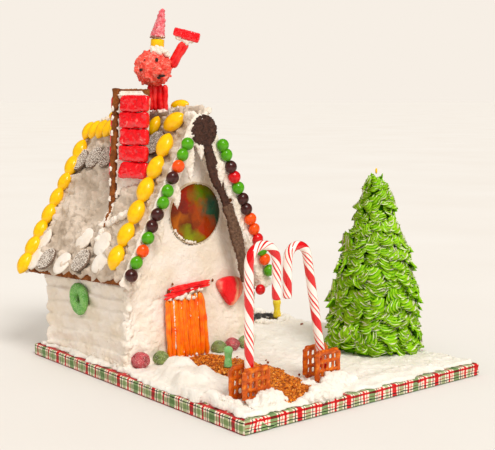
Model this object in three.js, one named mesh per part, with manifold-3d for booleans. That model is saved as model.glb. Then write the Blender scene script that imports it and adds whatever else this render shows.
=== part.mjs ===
// Gingerbread house on a gift-wrapped board: iced walls and roof, candy trim, chimney with a roof
// figure, candy-cane arch, pretzel gates, piped tree, crumb path and pond.
// Millimetres, +Z up, origin at the middle of the board's underside, -Y is the front of the house.
import * as THREE from "three";
import { mergeVertices } from "three/addons/utils/BufferGeometryUtils.js";
import Module from "manifold-3d";

const wasm = await Module();
wasm.setup();

// ---------- driving dimensions ----------
const GAP = 0.3; // clearance between pieces that touch
const BOARD = { x: 325, y: 385, z: 12.7, round: 3 };
const SNOW = { under: BOARD.z + GAP, top: 16, margin: 7, cellsX: 16, cellsY: 19 };
const FLOOR = SNOW.top + GAP; // level that everything on the snow stands at

const WALL = { left: -148, right: 18, front: 15, back: 172, coat: 3, slab: 6 };
const ROOF = {
  coat: 4,
  slab: 5,
  ridgeFront: new THREE.Vector3(-62.5, 0, 287),
  ridgeBack: new THREE.Vector3(-61, 214, 264.5),
  leftFront: new THREE.Vector3(-162, 0, 108),
  leftBack: new THREE.Vector3(-165, 205, 98),
  rightFront: new THREE.Vector3(29, 0, 88.5),
  rightBack: new THREE.Vector3(33, 205, 80),
};
const UNDER_ROOF = ROOF.coat + ROOF.slab + 3 * GAP; // depth from the icing's face to a wall top

const WINDOW = { x: -60.5, z: 170.5, radius: 33.5 };
const DOOR = { left: -102, right: -49.5, top: 87, strands: 9, depth: 6.5 };
const LINTEL = { left: -106, right: -45, top: 98, depth: 8 };
const SLICE = { x: -16, z: 82.5, width: 35, height: 32, depth: 8 };
const RING = { y: 104, z: 77, radius: 11.5, tube: 6.2, depth: 9.6 };
const DISC = { x: -61.5, z: 260, radius: 16.5, depth: 4.5 };
const STRIP = { top: [-52, 243], bottom: [10, 89], width: 10, depth: 4 };

// The chimney stands on the left slope, turned and leaning a little; its own frame has the
// brick face at X 0, facing -X, and its foot at Z 0.
const CHIMNEY = {
  foot: new THREE.Vector3(-106.3, 63.8, 197),
  turn: THREE.MathUtils.degToRad(15.7),
  lean: THREE.MathUtils.degToRad(4.3),
  width: 43,
  height: 107,
  slab: 5,
  coat: 1.5,
  fin: { thick: 7, left: -8, right: 30, top: 107 },
};
const BRICK = { length: 39.5, height: 16.6, depth: 8.2, pitch: 17.7, count: 5, first: 20 };

const CANE = { radius: 4.5, sides: 8 };
const PRETZEL = { size: 33, thick: 4.4, cols: 4, rows: 3, bar: 2.9 };
const TREE = { x: 115.5, y: -81, height: 197 };
// Share of the tree's height, and its radius there.
const TREE_PROFILE = [
  [0, 46],
  [0.25, 46],
  [0.5, 35.5],
  [0.72, 19.5],
  [0.9, 13.5],
  [0.98, 6],
];
const ALMOND = { length: 26, width: 16.5, thick: 12 };
const ROUND = { across: 12.6, along: 13.9 };

// ---------- colours ----------
const paint = (hex, roughness) => new THREE.MeshStandardMaterial({ color: hex, roughness, metalness: 0 });
const ICING = paint("#f6efe3", 0.75);
const GINGER = paint("#a3622c", 0.85);
const CHOCOLATE = paint("#4a2a1c", 0.6);
const RED = paint("#d8202a", 0.35);
const ORANGE = paint("#f07a1c", 0.45);
const YELLOW = paint("#f7c51c", 0.35);
const GREEN = paint("#5fae2c", 0.4);
const PALE_GREEN = paint("#8fd08c", 0.5);
const PAPER = paint("#d8cdb4", 0.6);
const PRETZEL_BROWN = paint("#b86a24", 0.6);
const STRIPED = paint("#e9b9b4", 0.3);
const GLASSY = paint("#8a5a24", 0.15);
const FOIL = paint("#8c8a88", 0.4);
const PINK = paint("#e8868a", 0.6);

// ---------- geometry helpers ----------
const group = new THREE.Group();

function place(name, geometry, material) {
  const mesh = new THREE.Mesh(geometry, material);
  mesh.name = name;
  group.add(mesh);
  return mesh;
}

function bare(geometry) {
  const g = geometry.clone();
  g.deleteAttribute("normal");
  g.deleteAttribute("uv");
  return mergeVertices(g, 1e-3);
}

function toSolid(geometry) {
  const g = bare(geometry);
  const vertProperties = g.attributes.position.array;
  const triVerts = new Uint32Array(g.index.array);
  return new wasm.Manifold(new wasm.Mesh({ numProp: 3, vertProperties, triVerts }));
}

function toGeometry(solid) {
  const made = solid.getMesh();
  const g = new THREE.BufferGeometry();
  g.setAttribute("position", new THREE.BufferAttribute(new Float32Array(made.vertProperties), 3));
  g.setIndex(new THREE.BufferAttribute(new Uint32Array(made.triVerts), 1));
  return g;
}

const join = (geometries) => toGeometry(geometries.map(toSolid).reduce((a, b) => a.add(b)));

// Closed body from a grid of top points and the matching grid, or a flat fan, below it.
function gridBody(nu, nv, top, bottom, flatUnder) {
  const points = [];
  const faces = [];
  const at = (i, j) => i * (nv + 1) + j;
  const each = (f) => {
    for (let i = 0; i <= nu; i++) for (let j = 0; j <= nv; j++) points.push(f(i / nu, j / nv));
  };
  each(top);
  const under = points.length;
  each(bottom);
  for (let i = 0; i < nu; i++) {
    for (let j = 0; j < nv; j++) {
      const q = [at(i, j), at(i + 1, j), at(i + 1, j + 1), at(i, j + 1)];
      faces.push([q[0], q[1], q[2]], [q[0], q[2], q[3]]);
      if (flatUnder) continue;
      const p = q.map((k) => under + k);
      faces.push([p[0], p[2], p[1]], [p[0], p[3], p[2]]);
    }
  }
  const rim = [];
  for (let i = 0; i < nu; i++) rim.push(at(i, 0));
  for (let j = 0; j < nv; j++) rim.push(at(nu, j));
  for (let i = nu; i > 0; i--) rim.push(at(i, nv));
  for (let j = nv; j > 0; j--) rim.push(at(0, j));
  const middle = points.length;
  if (flatUnder) points.push(bottom(0.5, 0.5));
  rim.forEach((a, k) => {
    const b = rim[(k + 1) % rim.length];
    faces.push([a, under + a, under + b], [a, under + b, b]);
    if (flatUnder) faces.push([under + a, middle, under + b]);
  });
  return closedBody(points, faces);
}

// Indexed body whose faces are turned to point outwards; unused points are left out.
function closedBody(points, faces) {
  const volume = faces.reduce((sum, [a, b, c]) => sum + points[a].dot(points[b].clone().cross(points[c])), 0);
  const turned = volume < 0 ? faces.map(([a, b, c]) => [a, c, b]) : faces;
  const flat = turned.flat().flatMap((k) => points[k].toArray());
  const g = new THREE.BufferGeometry();
  g.setAttribute("position", new THREE.BufferAttribute(new Float32Array(flat), 3));
  return mergeVertices(g, 1e-3);
}

// Outline in X and Z, carried from y0 to y1.
function prismXZ(outline, y0, y1, holes = []) {
  const shape = new THREE.Shape(outline.map(([x, z]) => new THREE.Vector2(x, z)));
  shape.holes = holes.map((h) => new THREE.Path(h.map(([x, z]) => new THREE.Vector2(x, z))));
  const g = new THREE.ExtrudeGeometry(shape, { depth: y1 - y0, bevelEnabled: false });
  return g.rotateX(Math.PI / 2).translate(0, y1, 0);
}

// Outline in Y and Z, carried from x0 to x1.
function prismYZ(outline, x0, x1) {
  const shape = new THREE.Shape(outline.map(([y, z]) => new THREE.Vector2(y, z)));
  const g = new THREE.ExtrudeGeometry(shape, { depth: x1 - x0, bevelEnabled: false });
  const toYZ = new THREE.Matrix4().makeBasis(
    new THREE.Vector3(0, 1, 0),
    new THREE.Vector3(0, 0, 1),
    new THREE.Vector3(1, 0, 0),
  );
  return g.applyMatrix4(toYZ).translate(x0, 0, 0);
}

// Spread knife strokes, between 0 and 1.
function strokes(a, b) {
  return 0.5 + 0.3 * Math.sin(a * 0.11 + 2.1 * Math.sin(b * 0.07)) + 0.2 * Math.sin(b * 0.31 + a * 0.05);
}

function circle(cx, cz, radius, steps) {
  return Array.from({ length: steps }, (_, k) => {
    const t = (k / steps) * 2 * Math.PI;
    return [cx + radius * Math.cos(t), cz + radius * Math.sin(t)];
  });
}

// ---------- board, snow, path, pond ----------
function roundedRect(width, depth, r) {
  const corners = [
    [1, 1, 0],
    [-1, 1, 1],
    [-1, -1, 2],
    [1, -1, 3],
  ];
  const points = [];
  for (const [sx, sy, turn] of corners) {
    for (let k = 0; k <= 2; k++) {
      const t = (turn + k / 2) * (Math.PI / 2);
      const x = sx * (width / 2 - r) + r * Math.cos(t);
      const y = sy * (depth / 2 - r) + r * Math.sin(t);
      points.push(new THREE.Vector2(x, y));
    }
  }
  return new THREE.Shape(points);
}

function board() {
  const g = new THREE.ExtrudeGeometry(roundedRect(BOARD.x, BOARD.y, BOARD.round), {
    depth: BOARD.z,
    bevelEnabled: false,
  });
  place("board", g, PAPER);
}

// Low rounded heaps of icing: [x, y, radius across, radius along, height].
const HEAPS = [
  [-124, -50, 24, 46, 11],
  [-146, -104, 13, 36, 6],
  [-123, -104, 16, 28, 6],
  [150, 20, 10, 40, 4],
  [60, -168, 50, 14, 3],
  [60, 100, 26, 60, 3],
];

function heapHeight(x, y) {
  return HEAPS.reduce((h, [cx, cy, rx, ry, up]) => {
    const r2 = ((x - cx) / rx) ** 2 + ((y - cy) / ry) ** 2;
    return r2 < 1 ? h + up * (1 - r2) ** 2 : h;
  }, 0);
}

function snow() {
  const point = (u, v, z) => {
    const wobble = 1.6 * Math.sin(19 * u + 5 * v) + 1.4 * Math.sin(23 * v + 3 * u);
    const x = (u - 0.5) * (BOARD.x - 2 * SNOW.margin + wobble);
    const y = (v - 0.5) * (BOARD.y - 2 * SNOW.margin + wobble);
    return new THREE.Vector3(x, y, z(x, y));
  };
  const top = (u, v) => point(u, v, (x, y) => SNOW.top + heapHeight(x, y));
  const under = (u, v) => point(u, v, () => SNOW.under);
  place("snow", gridBody(SNOW.cellsX, SNOW.cellsY, top, under, true), ICING);
}

// Crumb path from the door to the front edge, wider and then narrowing to a tongue.
const PATH = [
  // along the path: y, left x, right x
  [8, -92, -46],
  [-26, -86, -38],
  [-80, -89, -29],
  [-120, -100, -38],
  [-150, -99, -47],
  [-172, -106, -60],
  [-181, -102, -84],
];

function pathEdge(v, column) {
  const s = v * (PATH.length - 1);
  const k = Math.min(Math.floor(s), PATH.length - 2);
  return THREE.MathUtils.lerp(PATH[k][column], PATH[k + 1][column], s - k);
}

function path() {
  const point = (u, v, z) => {
    const x = THREE.MathUtils.lerp(pathEdge(v, 1), pathEdge(v, 2), u);
    return new THREE.Vector3(x, pathEdge(v, 0), z);
  };
  const top = (u, v) => point(u, v, FLOOR + 1.6 + 0.7 * Math.sin(37 * u + 29 * v));
  place("crumb_path", gridBody(4, 12, top, (u, v) => point(u, v, FLOOR), true), GINGER);
}

const POND = { x: 118, y: 119, radius: 28, height: 1.6 };

function pond() {
  const point = (u, v, z) => {
    const t = v * 2 * Math.PI;
    const r = u * POND.radius * (1 + 0.09 * Math.sin(3 * t + 1));
    return new THREE.Vector3(POND.x + r * Math.cos(t), POND.y + r * Math.sin(t), z);
  };
  const rings = 3;
  const around = 16;
  const points = [point(0, 0, FLOOR + POND.height), point(0, 0, FLOOR)];
  const faces = [];
  for (let i = 1; i <= rings; i++) {
    for (let j = 0; j < around; j++) {
      const crinkle = 0.5 * Math.sin(9 * i + 5 * j);
      points.push(point(i / rings, j / around, FLOOR + POND.height + crinkle));
    }
  }
  for (let j = 0; j < around; j++) points.push(point(1, j / around, FLOOR));
  const at = (i, j) => 2 + (i - 1) * around + (j % around);
  for (let j = 0; j < around; j++) {
    faces.push([0, at(1, j), at(1, j + 1)]);
    for (let i = 1; i <= rings; i++) {
      faces.push([at(i, j), at(i + 1, j), at(i + 1, j + 1)]);
      faces.push([at(i, j), at(i + 1, j + 1), at(i, j + 1)]);
    }
    faces.push([1, at(rings + 1, j + 1), at(rings + 1, j)]);
  }
  place("pond", closedBody(points, faces), FOIL);
}

// ---------- roof ----------
const SIDES = {
  left: { front: ROOF.leftFront, back: ROOF.leftBack, sign: -1 },
  right: { front: ROOF.rightFront, back: ROOF.rightBack, sign: 1 },
};

// Icing face of the roof at u up the slope and v from front to back, lowered by depth.
function roofPoint(side, u, v, depth) {
  const eave = side.front.clone().lerp(side.back, v);
  const ridge = ROOF.ridgeFront.clone().lerp(ROOF.ridgeBack, v);
  const slope = ridge.clone().sub(eave);
  slope.y = 0;
  slope.normalize();
  const outward = new THREE.Vector3(side.sign * slope.z, 0, Math.abs(slope.x));
  const low = eave.addScaledVector(outward, -depth);
  const high = ridge.setZ(ridge.z - depth / outward.z);
  high.x += side.sign * (GAP / 2 + 0.1);
  return low.lerp(high, u);
}

function roofHeight(side, x, y) {
  const v = y / ROOF.ridgeBack.y;
  const a = roofPoint(side, 0, v, UNDER_ROOF);
  const b = roofPoint(side, 1, v, UNDER_ROOF);
  return a.z + ((x - a.x) * (b.z - a.z)) / (b.x - a.x);
}

function roofs() {
  for (const [name, side] of Object.entries(SIDES)) {
    const iced = (u, v) => {
      const inner = Math.min(u, 1 - u, v, 1 - v) > 0.02 ? 1 : 0;
      return roofPoint(side, u, v, inner * 1.8 * (1 - strokes(u * 190, v * 210)));
    };
    const slabTop = ROOF.coat + GAP;
    place(`icing_roof_${name}`, gridBody(8, 9, iced, (u, v) => roofPoint(side, u, v, ROOF.coat)), ICING);
    const slab = gridBody(
      4,
      4,
      (u, v) => roofPoint(side, u, v, slabTop),
      (u, v) => roofPoint(side, u, v, slabTop + ROOF.slab),
    );
    place(`roof_${name}`, slab, GINGER);
  }
}

// ---------- walls ----------
// Outline of an end wall that keeps clear of the roof as far back as y.
function gable(left, right, y, base) {
  const v = y / ROOF.ridgeBack.y;
  const apex = roofPoint(SIDES.right, 1, v, UNDER_ROOF);
  return [
    [left, base],
    [right, base],
    [right, roofHeight(SIDES.right, right, y) - 0.8],
    [apex.x, apex.z - 0.8],
    [left, roofHeight(SIDES.left, left, y) - 0.8],
  ];
}

// Iced face over a grid in X and Z, cut to an outline.
function icedFace(outline, faceY, backY, cellsX, cellsZ, hole) {
  const xs = outline.map((p) => p[0]);
  const zs = outline.map((p) => p[1]);
  const [x0, x1, z0, z1] = [Math.min(...xs) - 1, Math.max(...xs) + 1, Math.min(...zs) - 1, Math.max(...zs) + 1];
  const inward = Math.sign(backY - faceY);
  const spot = (u, v, y) => {
    const x = THREE.MathUtils.lerp(x0, x1, u);
    const z = THREE.MathUtils.lerp(z0, z1, v);
    return new THREE.Vector3(x, y(x, z), z);
  };
  const sheet = gridBody(
    cellsX,
    cellsZ,
    (u, v) => spot(u, v, (x, z) => faceY + inward * 1.2 * (1 - strokes(x, z))),
    (u, v) => spot(u, v, () => backY),
    true,
  );
  const [near, far] = [Math.min(faceY, backY) - 1, Math.max(faceY, backY) + 1];
  const cut = toSolid(sheet).intersect(toSolid(prismXZ(outline, near, far)));
  return toGeometry(hole ? cut.subtract(toSolid(prismXZ(hole, near, far))) : cut);
}

function walls() {
  const slabLeft = WALL.left + WALL.coat + GAP;
  const slabRight = WALL.right - WALL.coat - GAP;
  const slabFront = WALL.front + WALL.coat + GAP;
  const slabBack = WALL.back - WALL.coat - GAP;
  const hole = circle(WINDOW.x, WINDOW.z, WINDOW.radius + GAP, 28);

  const frontCoat = gable(WALL.left, WALL.right, slabFront, FLOOR);
  const backCoat = gable(WALL.left, WALL.right, WALL.back, FLOOR);
  place("icing_front", icedFace(frontCoat, WALL.front, WALL.front + WALL.coat, 9, 12, hole), ICING);
  place("icing_back", icedFace(backCoat, WALL.back, WALL.back - WALL.coat, 6, 8), ICING);
  const frontSlab = gable(slabLeft, slabRight, slabFront + WALL.slab, FLOOR);
  const backSlab = gable(slabLeft, slabRight, slabBack, FLOOR);
  place("wall_front", prismXZ(frontSlab, slabFront, slabFront + WALL.slab, [hole]), GINGER);
  place("wall_back", prismXZ(backSlab, slabBack - WALL.slab, slabBack), GINGER);
  const pane = circle(WINDOW.x, WINDOW.z, WINDOW.radius, 28);
  place("window", prismXZ(pane, WALL.front + 0.6, slabFront + WALL.slab), GLASSY);

  const sideFront = slabFront + WALL.slab + GAP;
  const sideBack = slabBack - WALL.slab - GAP;
  const sideOutline = (side, x) => [
    [sideFront, FLOOR],
    [sideBack, FLOOR],
    [sideBack, roofHeight(side, x, sideBack) - 1],
    [sideFront, roofHeight(side, x, sideFront) - 1],
  ];
  const leftSlab = sideOutline(SIDES.left, slabLeft);
  const rightSlab = sideOutline(SIDES.right, slabRight);
  place("wall_left", prismYZ(leftSlab, slabLeft, slabLeft + WALL.slab), GINGER);
  place("wall_right", prismYZ(rightSlab, slabRight - WALL.slab, slabRight), GINGER);
  sideCoat("icing_left", SIDES.left, WALL.left, slabLeft - GAP, slabFront, slabBack);
  sideCoat("icing_right", SIDES.right, WALL.right, slabRight + GAP, slabFront, slabBack);
}

function sideCoat(name, side, faceX, backX, y0, y1) {
  const inward = Math.sign(backX - faceX);
  const spot = (u, v, x) => {
    const y = THREE.MathUtils.lerp(y0, y1, u);
    const z = THREE.MathUtils.lerp(FLOOR, roofHeight(side, faceX, y) - 1, v);
    return new THREE.Vector3(x(y, z), y, z);
  };
  const face = (u, v) => spot(u, v, (y, z) => faceX + inward * 1.2 * (1 - strokes(y, 2 * z)));
  place(name, gridBody(8, 5, face, (u, v) => spot(u, v, () => backX), true), ICING);
}

// ---------- candy on the walls ----------
function door() {
  const back = WALL.front - GAP;
  const strand = (DOOR.right - DOOR.left) / DOOR.strands;
  const shape = new THREE.Shape();
  shape.moveTo(DOOR.right, back);
  shape.lineTo(DOOR.left, back);
  for (let k = 0; k < DOOR.strands; k++) {
    for (let s = 0; s < 4; s++) {
      const t = (s / 4) * Math.PI;
      const bulge = DOOR.depth * (0.72 + 0.28 * Math.sin(t));
      shape.lineTo(DOOR.left + strand * (k + 0.5 - 0.5 * Math.cos(t)), back - bulge);
    }
  }
  shape.lineTo(DOOR.right, back - DOOR.depth * 0.72);
  const g = new THREE.ExtrudeGeometry(shape, { depth: DOOR.top - FLOOR, bevelEnabled: false });
  place("door", g.translate(0, 0, FLOOR), ORANGE);
}

function lintel() {
  const back = WALL.front - GAP;
  const low = DOOR.top + GAP;
  const section = [
    [back, low],
    [back, LINTEL.top],
    [back - 0.6 * LINTEL.depth, LINTEL.top],
    [back - LINTEL.depth, (low + LINTEL.top) / 2],
    [back - 0.6 * LINTEL.depth, low],
  ];
  place("lintel", prismYZ(section, LINTEL.left, LINTEL.right), RED);
}

// Jelly fruit slice: round top, pointed foot.
function fruitSlice() {
  const back = WALL.front - GAP;
  const outline = [];
  const steps = 8;
  for (let k = 0; k <= steps; k++) {
    const t = (k / steps) * Math.PI;
    const x = SLICE.x + (SLICE.width / 2) * Math.cos(t);
    outline.push([x, SLICE.z + 4 + (SLICE.height / 2 - 4) * Math.sin(t)]);
  }
  outline.push([SLICE.x - SLICE.width * 0.33, SLICE.z - SLICE.height * 0.22]);
  outline.push([SLICE.x, SLICE.z - SLICE.height / 2]);
  outline.push([SLICE.x + SLICE.width * 0.33, SLICE.z - SLICE.height * 0.22]);
  place("fruit_slice", prismXZ(outline, back - SLICE.depth, back), RED);
}

function sugarRing() {
  const g = new THREE.TorusGeometry(RING.radius, RING.tube, 6, 14);
  g.scale(1, 1, RING.depth / (2 * RING.tube));
  g.rotateY(Math.PI / 2);
  place("sugar_ring", g.translate(WALL.left - GAP - RING.depth / 2, RING.y, RING.z), GREEN);
}

function chocolateTrim() {
  const back = -GAP;
  place("chocolate_disc", prismXZ(circle(DISC.x, DISC.z, DISC.radius, 24), back - DISC.depth, back), CHOCOLATE);
  const rows = 12;
  const edge = (side) =>
    Array.from({ length: rows + 1 }, (_, k) => {
      const t = k / rows;
      const x = THREE.MathUtils.lerp(STRIP.top[0], STRIP.bottom[0], t) + 2.2 * Math.sin(9 * t);
      const z = THREE.MathUtils.lerp(STRIP.top[1], STRIP.bottom[1], t);
      return [x + side * (STRIP.width / 2 + 0.8 * Math.sin(21 * t + side)), z + side * 2.4];
    });
  const outline = [...edge(-1), ...edge(1).reverse()];
  const strip = toSolid(prismXZ(outline, back - STRIP.depth, back)).subtract(
    toSolid(prismXZ(circle(DISC.x, DISC.z, DISC.radius + GAP, 24), back - DISC.depth - 1, back + 1)),
  );
  place("chocolate_strip", toGeometry(strip.decompose().sort((a, b) => b.volume() - a.volume())[0]), CHOCOLATE);
}

// ---------- chimney ----------
// Sheet in the chimney's own frame, clear of the roof below it.
function chimneyPiece(name, geometry, material) {
  const { foot, turn, lean } = CHIMNEY;
  const stand = new THREE.Matrix4().makeRotationY(lean).premultiply(new THREE.Matrix4().makeRotationZ(turn));
  const placed = geometry.applyMatrix4(stand.setPosition(foot));
  const roof = gridBody(
    4,
    4,
    (u, v) => roofPoint(SIDES.left, 1.04 * u, v, -GAP - 0.2),
    (u, v) => roofPoint(SIDES.left, 1.04 * u, v, 40),
  );
  const parts = toSolid(placed).subtract(toSolid(roof)).decompose();
  place(name, toGeometry(parts.sort((a, b) => b.volume() - a.volume())[0]), material);
}

// Box given by its lowest and highest corners.
function block([x0, y0, z0], [x1, y1, z1]) {
  const g = new THREE.BoxGeometry(x1 - x0, y1 - y0, z1 - z0);
  return g.translate((x0 + x1) / 2, (y0 + y1) / 2, (z0 + z1) / 2);
}

// Jelly brick with cut corners, its long side from y0, its broad face to -X or +Y.
function brickOutline(start, z) {
  const cut = 3.4;
  const [a, b] = [start, start + BRICK.length];
  const [c, d] = [z - BRICK.height / 2, z + BRICK.height / 2];
  return [
    [a, c + cut],
    [a + cut, c],
    [b - cut, c],
    [b, c + cut],
    [b, d - cut],
    [b - cut, d],
    [a + cut, d],
    [a, d - cut],
  ];
}

function chimney() {
  const { width, height, slab, coat, fin } = CHIMNEY;
  const half = width / 2;
  const deep = -30; // below the roof's face, where the roof cuts it off
  const fins = block([fin.left, half + GAP, deep], [fin.right, half + GAP + fin.thick, fin.top]);
  chimneyPiece("chimney_side", block([0, 4 - half, deep], [slab, half, height]), GINGER);
  chimneyPiece("chimney_back", fins, GINGER);
  chimneyPiece("chimney_icing", block([-coat - GAP, 3 - half, deep], [-GAP, half - 1, height - 2.5]), ICING);
  const face = -coat - 2 * GAP;
  for (let k = 0; k < BRICK.count; k++) {
    const start = -BRICK.length / 2 - 1 + (k % 2);
    const outline = brickOutline(start, BRICK.first + BRICK.pitch * k);
    chimneyPiece(`brick_${k + 1}`, prismYZ(outline, face - BRICK.depth, face), RED);
  }
  const backY = half + fin.thick + 2 * GAP;
  const behind = [];
  for (let k = 0; k < BRICK.count; k++) {
    const outline = brickOutline(fin.left + 5 + 0.4 * k, BRICK.first + BRICK.pitch * k);
    behind.push(prismXZ(outline, backY, backY + BRICK.depth));
  }
  // The bricks behind are one stack, tied along their inner side.
  const tie = block(
    [fin.left + 15, backY, BRICK.first],
    [fin.left + 35, backY + BRICK.depth - 2, BRICK.first + BRICK.pitch * (BRICK.count - 1)],
  );
  chimneyPiece("bricks_behind", join([...behind, tie]), RED);
}

// ---------- rows of candy ----------
// Candies in a row from start to end, lying tip to tip or, when crosswise, side by side.
function candyRow(name, start, end, count, size, up, crosswise, material) {
  const row = end.clone().sub(start).normalize();
  const y = up.clone().addScaledVector(row, -up.dot(row)).normalize();
  const x = crosswise ? row : y.clone().cross(row);
  const z = crosswise ? row.clone().cross(y) : row;
  const candies = [];
  for (let k = 0; k < count; k++) {
    const g = new THREE.SphereGeometry(0.5, 6, 4).rotateX(Math.PI / 2); // poles on Z
    g.scale(size.across, size.thick, size.along);
    g.applyMatrix4(new THREE.Matrix4().makeBasis(x, y, z));
    const at = start.clone().lerp(end, k / (count - 1));
    candies.push(g.translate(at.x, at.y, at.z));
  }
  place(name, join(candies), material);
}

function roofCandies() {
  const lift = ALMOND.thick / 2 + GAP;
  const almond = { across: ALMOND.width, thick: ALMOND.thick, along: ALMOND.length };
  for (const [name, side] of Object.entries(SIDES)) {
    const slope = roofPoint(side, 1, 0.5, 0).sub(roofPoint(side, 0, 0.5, 0));
    const outward = new THREE.Vector3(side.sign * slope.z, 0, Math.abs(slope.x)).normalize();
    const spot = (u, v) => roofPoint(side, u, v, 0).addScaledVector(outward, lift);
    const rows = [
      [`almonds_front_${name}`, spot(0.139, 0.122), spot(0.9, 0.122), 7, false],
      [`almonds_back_${name}`, spot(0.06, 0.985), spot(0.77, 0.985), 7, false],
      [`almonds_ridge_${name}`, spot(0.92, 0.585), spot(0.92, 1.0), 6, true],
    ];
    for (const [label, from, to, count, crosswise] of rows) {
      const pitch = from.distanceTo(to) / (count - 1);
      const touching = crosswise ? { ...almond, across: pitch + 0.7 } : { ...almond, along: pitch + 0.9 };
      candyRow(label, from, to, count, touching, outward, crosswise, YELLOW);
    }
  }
  const front = -GAP - ROUND.across / 2;
  const rakes = [
    ["round_candies_left", new THREE.Vector3(-84.4, front, 247.8), new THREE.Vector3(-156.1, front, 117.8), 12],
    ["round_candies_right", new THREE.Vector3(-40, front, 245.3), new THREE.Vector3(25, front, 103.8), 13],
  ];
  for (const [label, from, to, count] of rakes) {
    const along = from.distanceTo(to) / (count - 1) + 0.6;
    const size = { across: ROUND.across, thick: ROUND.across, along };
    candyRow(label, from, to, count, size, new THREE.Vector3(0, -1, 0), false, GREEN);
  }
}

// ---------- figure on the ridge ----------
// Heights are over the body's centre; "along" runs level, to the figure's own left hand side.
const FIGURE = {
  body: new THREE.Vector3(-67.4, 81.4, 326.5),
  radius: 21.5,
  legs: { x: -62.9, y: 77.6, foot: 280, apart: 9.2, radius: 4.7 },
  band: { along: 4.6, low: 17.5, high: 32.6, radius: 7.8 },
  hat: { low: 34.4, high: 62.5, radius: 8.2, tipAlong: 11 },
  arm: { along: 13, shoulder: -1, reach: 36.8, wrist: 26, radius: 5 },
  hand: { length: 29, depth: 12, height: 10.5, up: 35.4, tilt: 16 },
  along: new THREE.Vector3(0.7745, -0.6326, 0),
};

function lumpyBall(radius, rough) {
  const g = new THREE.SphereGeometry(radius, 12, 8).rotateX(Math.PI / 2);
  const p = g.attributes.position;
  const v = new THREE.Vector3();
  for (let k = 0; k < p.count; k++) {
    v.fromBufferAttribute(p, k);
    const lump = 1 + rough * Math.sin(0.4 * v.x + 0.3 * v.z) * Math.sin(0.37 * v.y + 0.5 * v.z);
    v.multiplyScalar(lump);
    p.setXYZ(k, v.x, v.y, v.z);
  }
  return g;
}

// Round rod between two points.
function rod(from, to, radiusFrom, radiusTo, sides) {
  const length = from.distanceTo(to);
  const g = new THREE.CylinderGeometry(radiusTo, radiusFrom, length, sides).translate(0, length / 2, 0);
  const turn = new THREE.Quaternion().setFromUnitVectors(
    new THREE.Vector3(0, 1, 0),
    to.clone().sub(from).normalize(),
  );
  return g.applyQuaternion(turn).translate(from.x, from.y, from.z);
}

function figure() {
  const { body, radius, legs, band, hat, arm, hand, along } = FIGURE;
  const spot = (aside, up) => body.clone().addScaledVector(along, aside).setZ(body.z + up);
  const clear = toSolid(lumpyBall(radius + 0.5, 0.05).translate(body.x, body.y, body.z));
  const clearOfBody = (geometry) => toGeometry(toSolid(geometry).subtract(clear));
  place("figure_body", lumpyBall(radius, 0.05).translate(body.x, body.y, body.z), RED);

  const bothLegs = [-0.5, 0.5].map((side) => {
    const low = new THREE.Vector3(legs.x, legs.y, legs.foot).addScaledVector(along, side * legs.apart);
    return rod(low, new THREE.Vector3(low.x - 3, low.y + 2.4, body.z - 8), legs.radius, legs.radius, 8);
  });
  place("figure_legs", clearOfBody(join(bothLegs)), RED);

  const hatband = rod(spot(band.along, band.low), spot(band.along, band.high), band.radius, band.radius, 10);
  place("figure_hatband", clearOfBody(hatband), YELLOW);
  place("figure_hat", rod(spot(band.along, hat.low), spot(hat.tipAlong, hat.high), hat.radius, 1.8, 10), PINK);

  const sleeve = rod(spot(arm.along, arm.shoulder), spot(arm.reach, arm.wrist), arm.radius, arm.radius, 8);
  place("figure_arm", clearOfBody(sleeve), RED);
  const brick = new THREE.BoxGeometry(hand.length, hand.depth, hand.height);
  const mesh = place("figure_hand", brick, RED);
  mesh.position.copy(spot(arm.reach, hand.up));
  const turn = Math.atan2(along.y, along.x);
  mesh.rotation.set(0, THREE.MathUtils.degToRad(hand.tilt), turn, "ZYX");
}

// ---------- candy canes and pretzel gates ----------
function caneCurve({ foot, shoulder, hook, sign, tipZ }) {
  const points = [foot.clone(), foot.clone().lerp(shoulder, 0.5), foot.clone().lerp(shoulder, 0.93)];
  const lean = Math.atan2(shoulder.x - foot.x, shoulder.z - foot.z);
  const centre = shoulder.clone();
  centre.x += sign * hook * Math.cos(lean);
  centre.z -= sign * hook * Math.sin(lean);
  const steps = 9;
  const sweep = Math.PI + sign * lean;
  for (let k = 0; k <= steps; k++) {
    const t = (k / steps) * sweep - sign * lean;
    points.push(new THREE.Vector3(centre.x - sign * hook * Math.cos(t), foot.y, centre.z + hook * Math.sin(t)));
  }
  const end = points[points.length - 1];
  points.push(new THREE.Vector3(end.x, end.y, THREE.MathUtils.lerp(end.z, tipZ, 0.4)));
  points.push(new THREE.Vector3(end.x, end.y, tipZ));
  return new THREE.CatmullRomCurve3(points, false, "centripetal");
}

const CANES = {
  cane_left: {
    foot: new THREE.Vector3(-123, -152, FLOOR),
    shoulder: new THREE.Vector3(-123.4, -152, 143.5),
    hook: 16.7,
    sign: 1,
    tipZ: 105,
  },
  cane_right: {
    foot: new THREE.Vector3(-17, -141, FLOOR + 1),
    shoulder: new THREE.Vector3(-41.2, -141, 143.5),
    hook: 12.9,
    sign: -1,
    tipZ: 102,
  },
};

function canes() {
  for (const [name, cane] of Object.entries(CANES)) {
    const round = circle(0, 0, CANE.radius, CANE.sides);
    const section = new THREE.Shape(round.map(([a, b]) => new THREE.Vector2(a, b)));
    const options = { steps: 24, bevelEnabled: false, extrudePath: caneCurve(cane) };
    place(name, new THREE.ExtrudeGeometry(section, options), STRIPED);
  }
}

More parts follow.
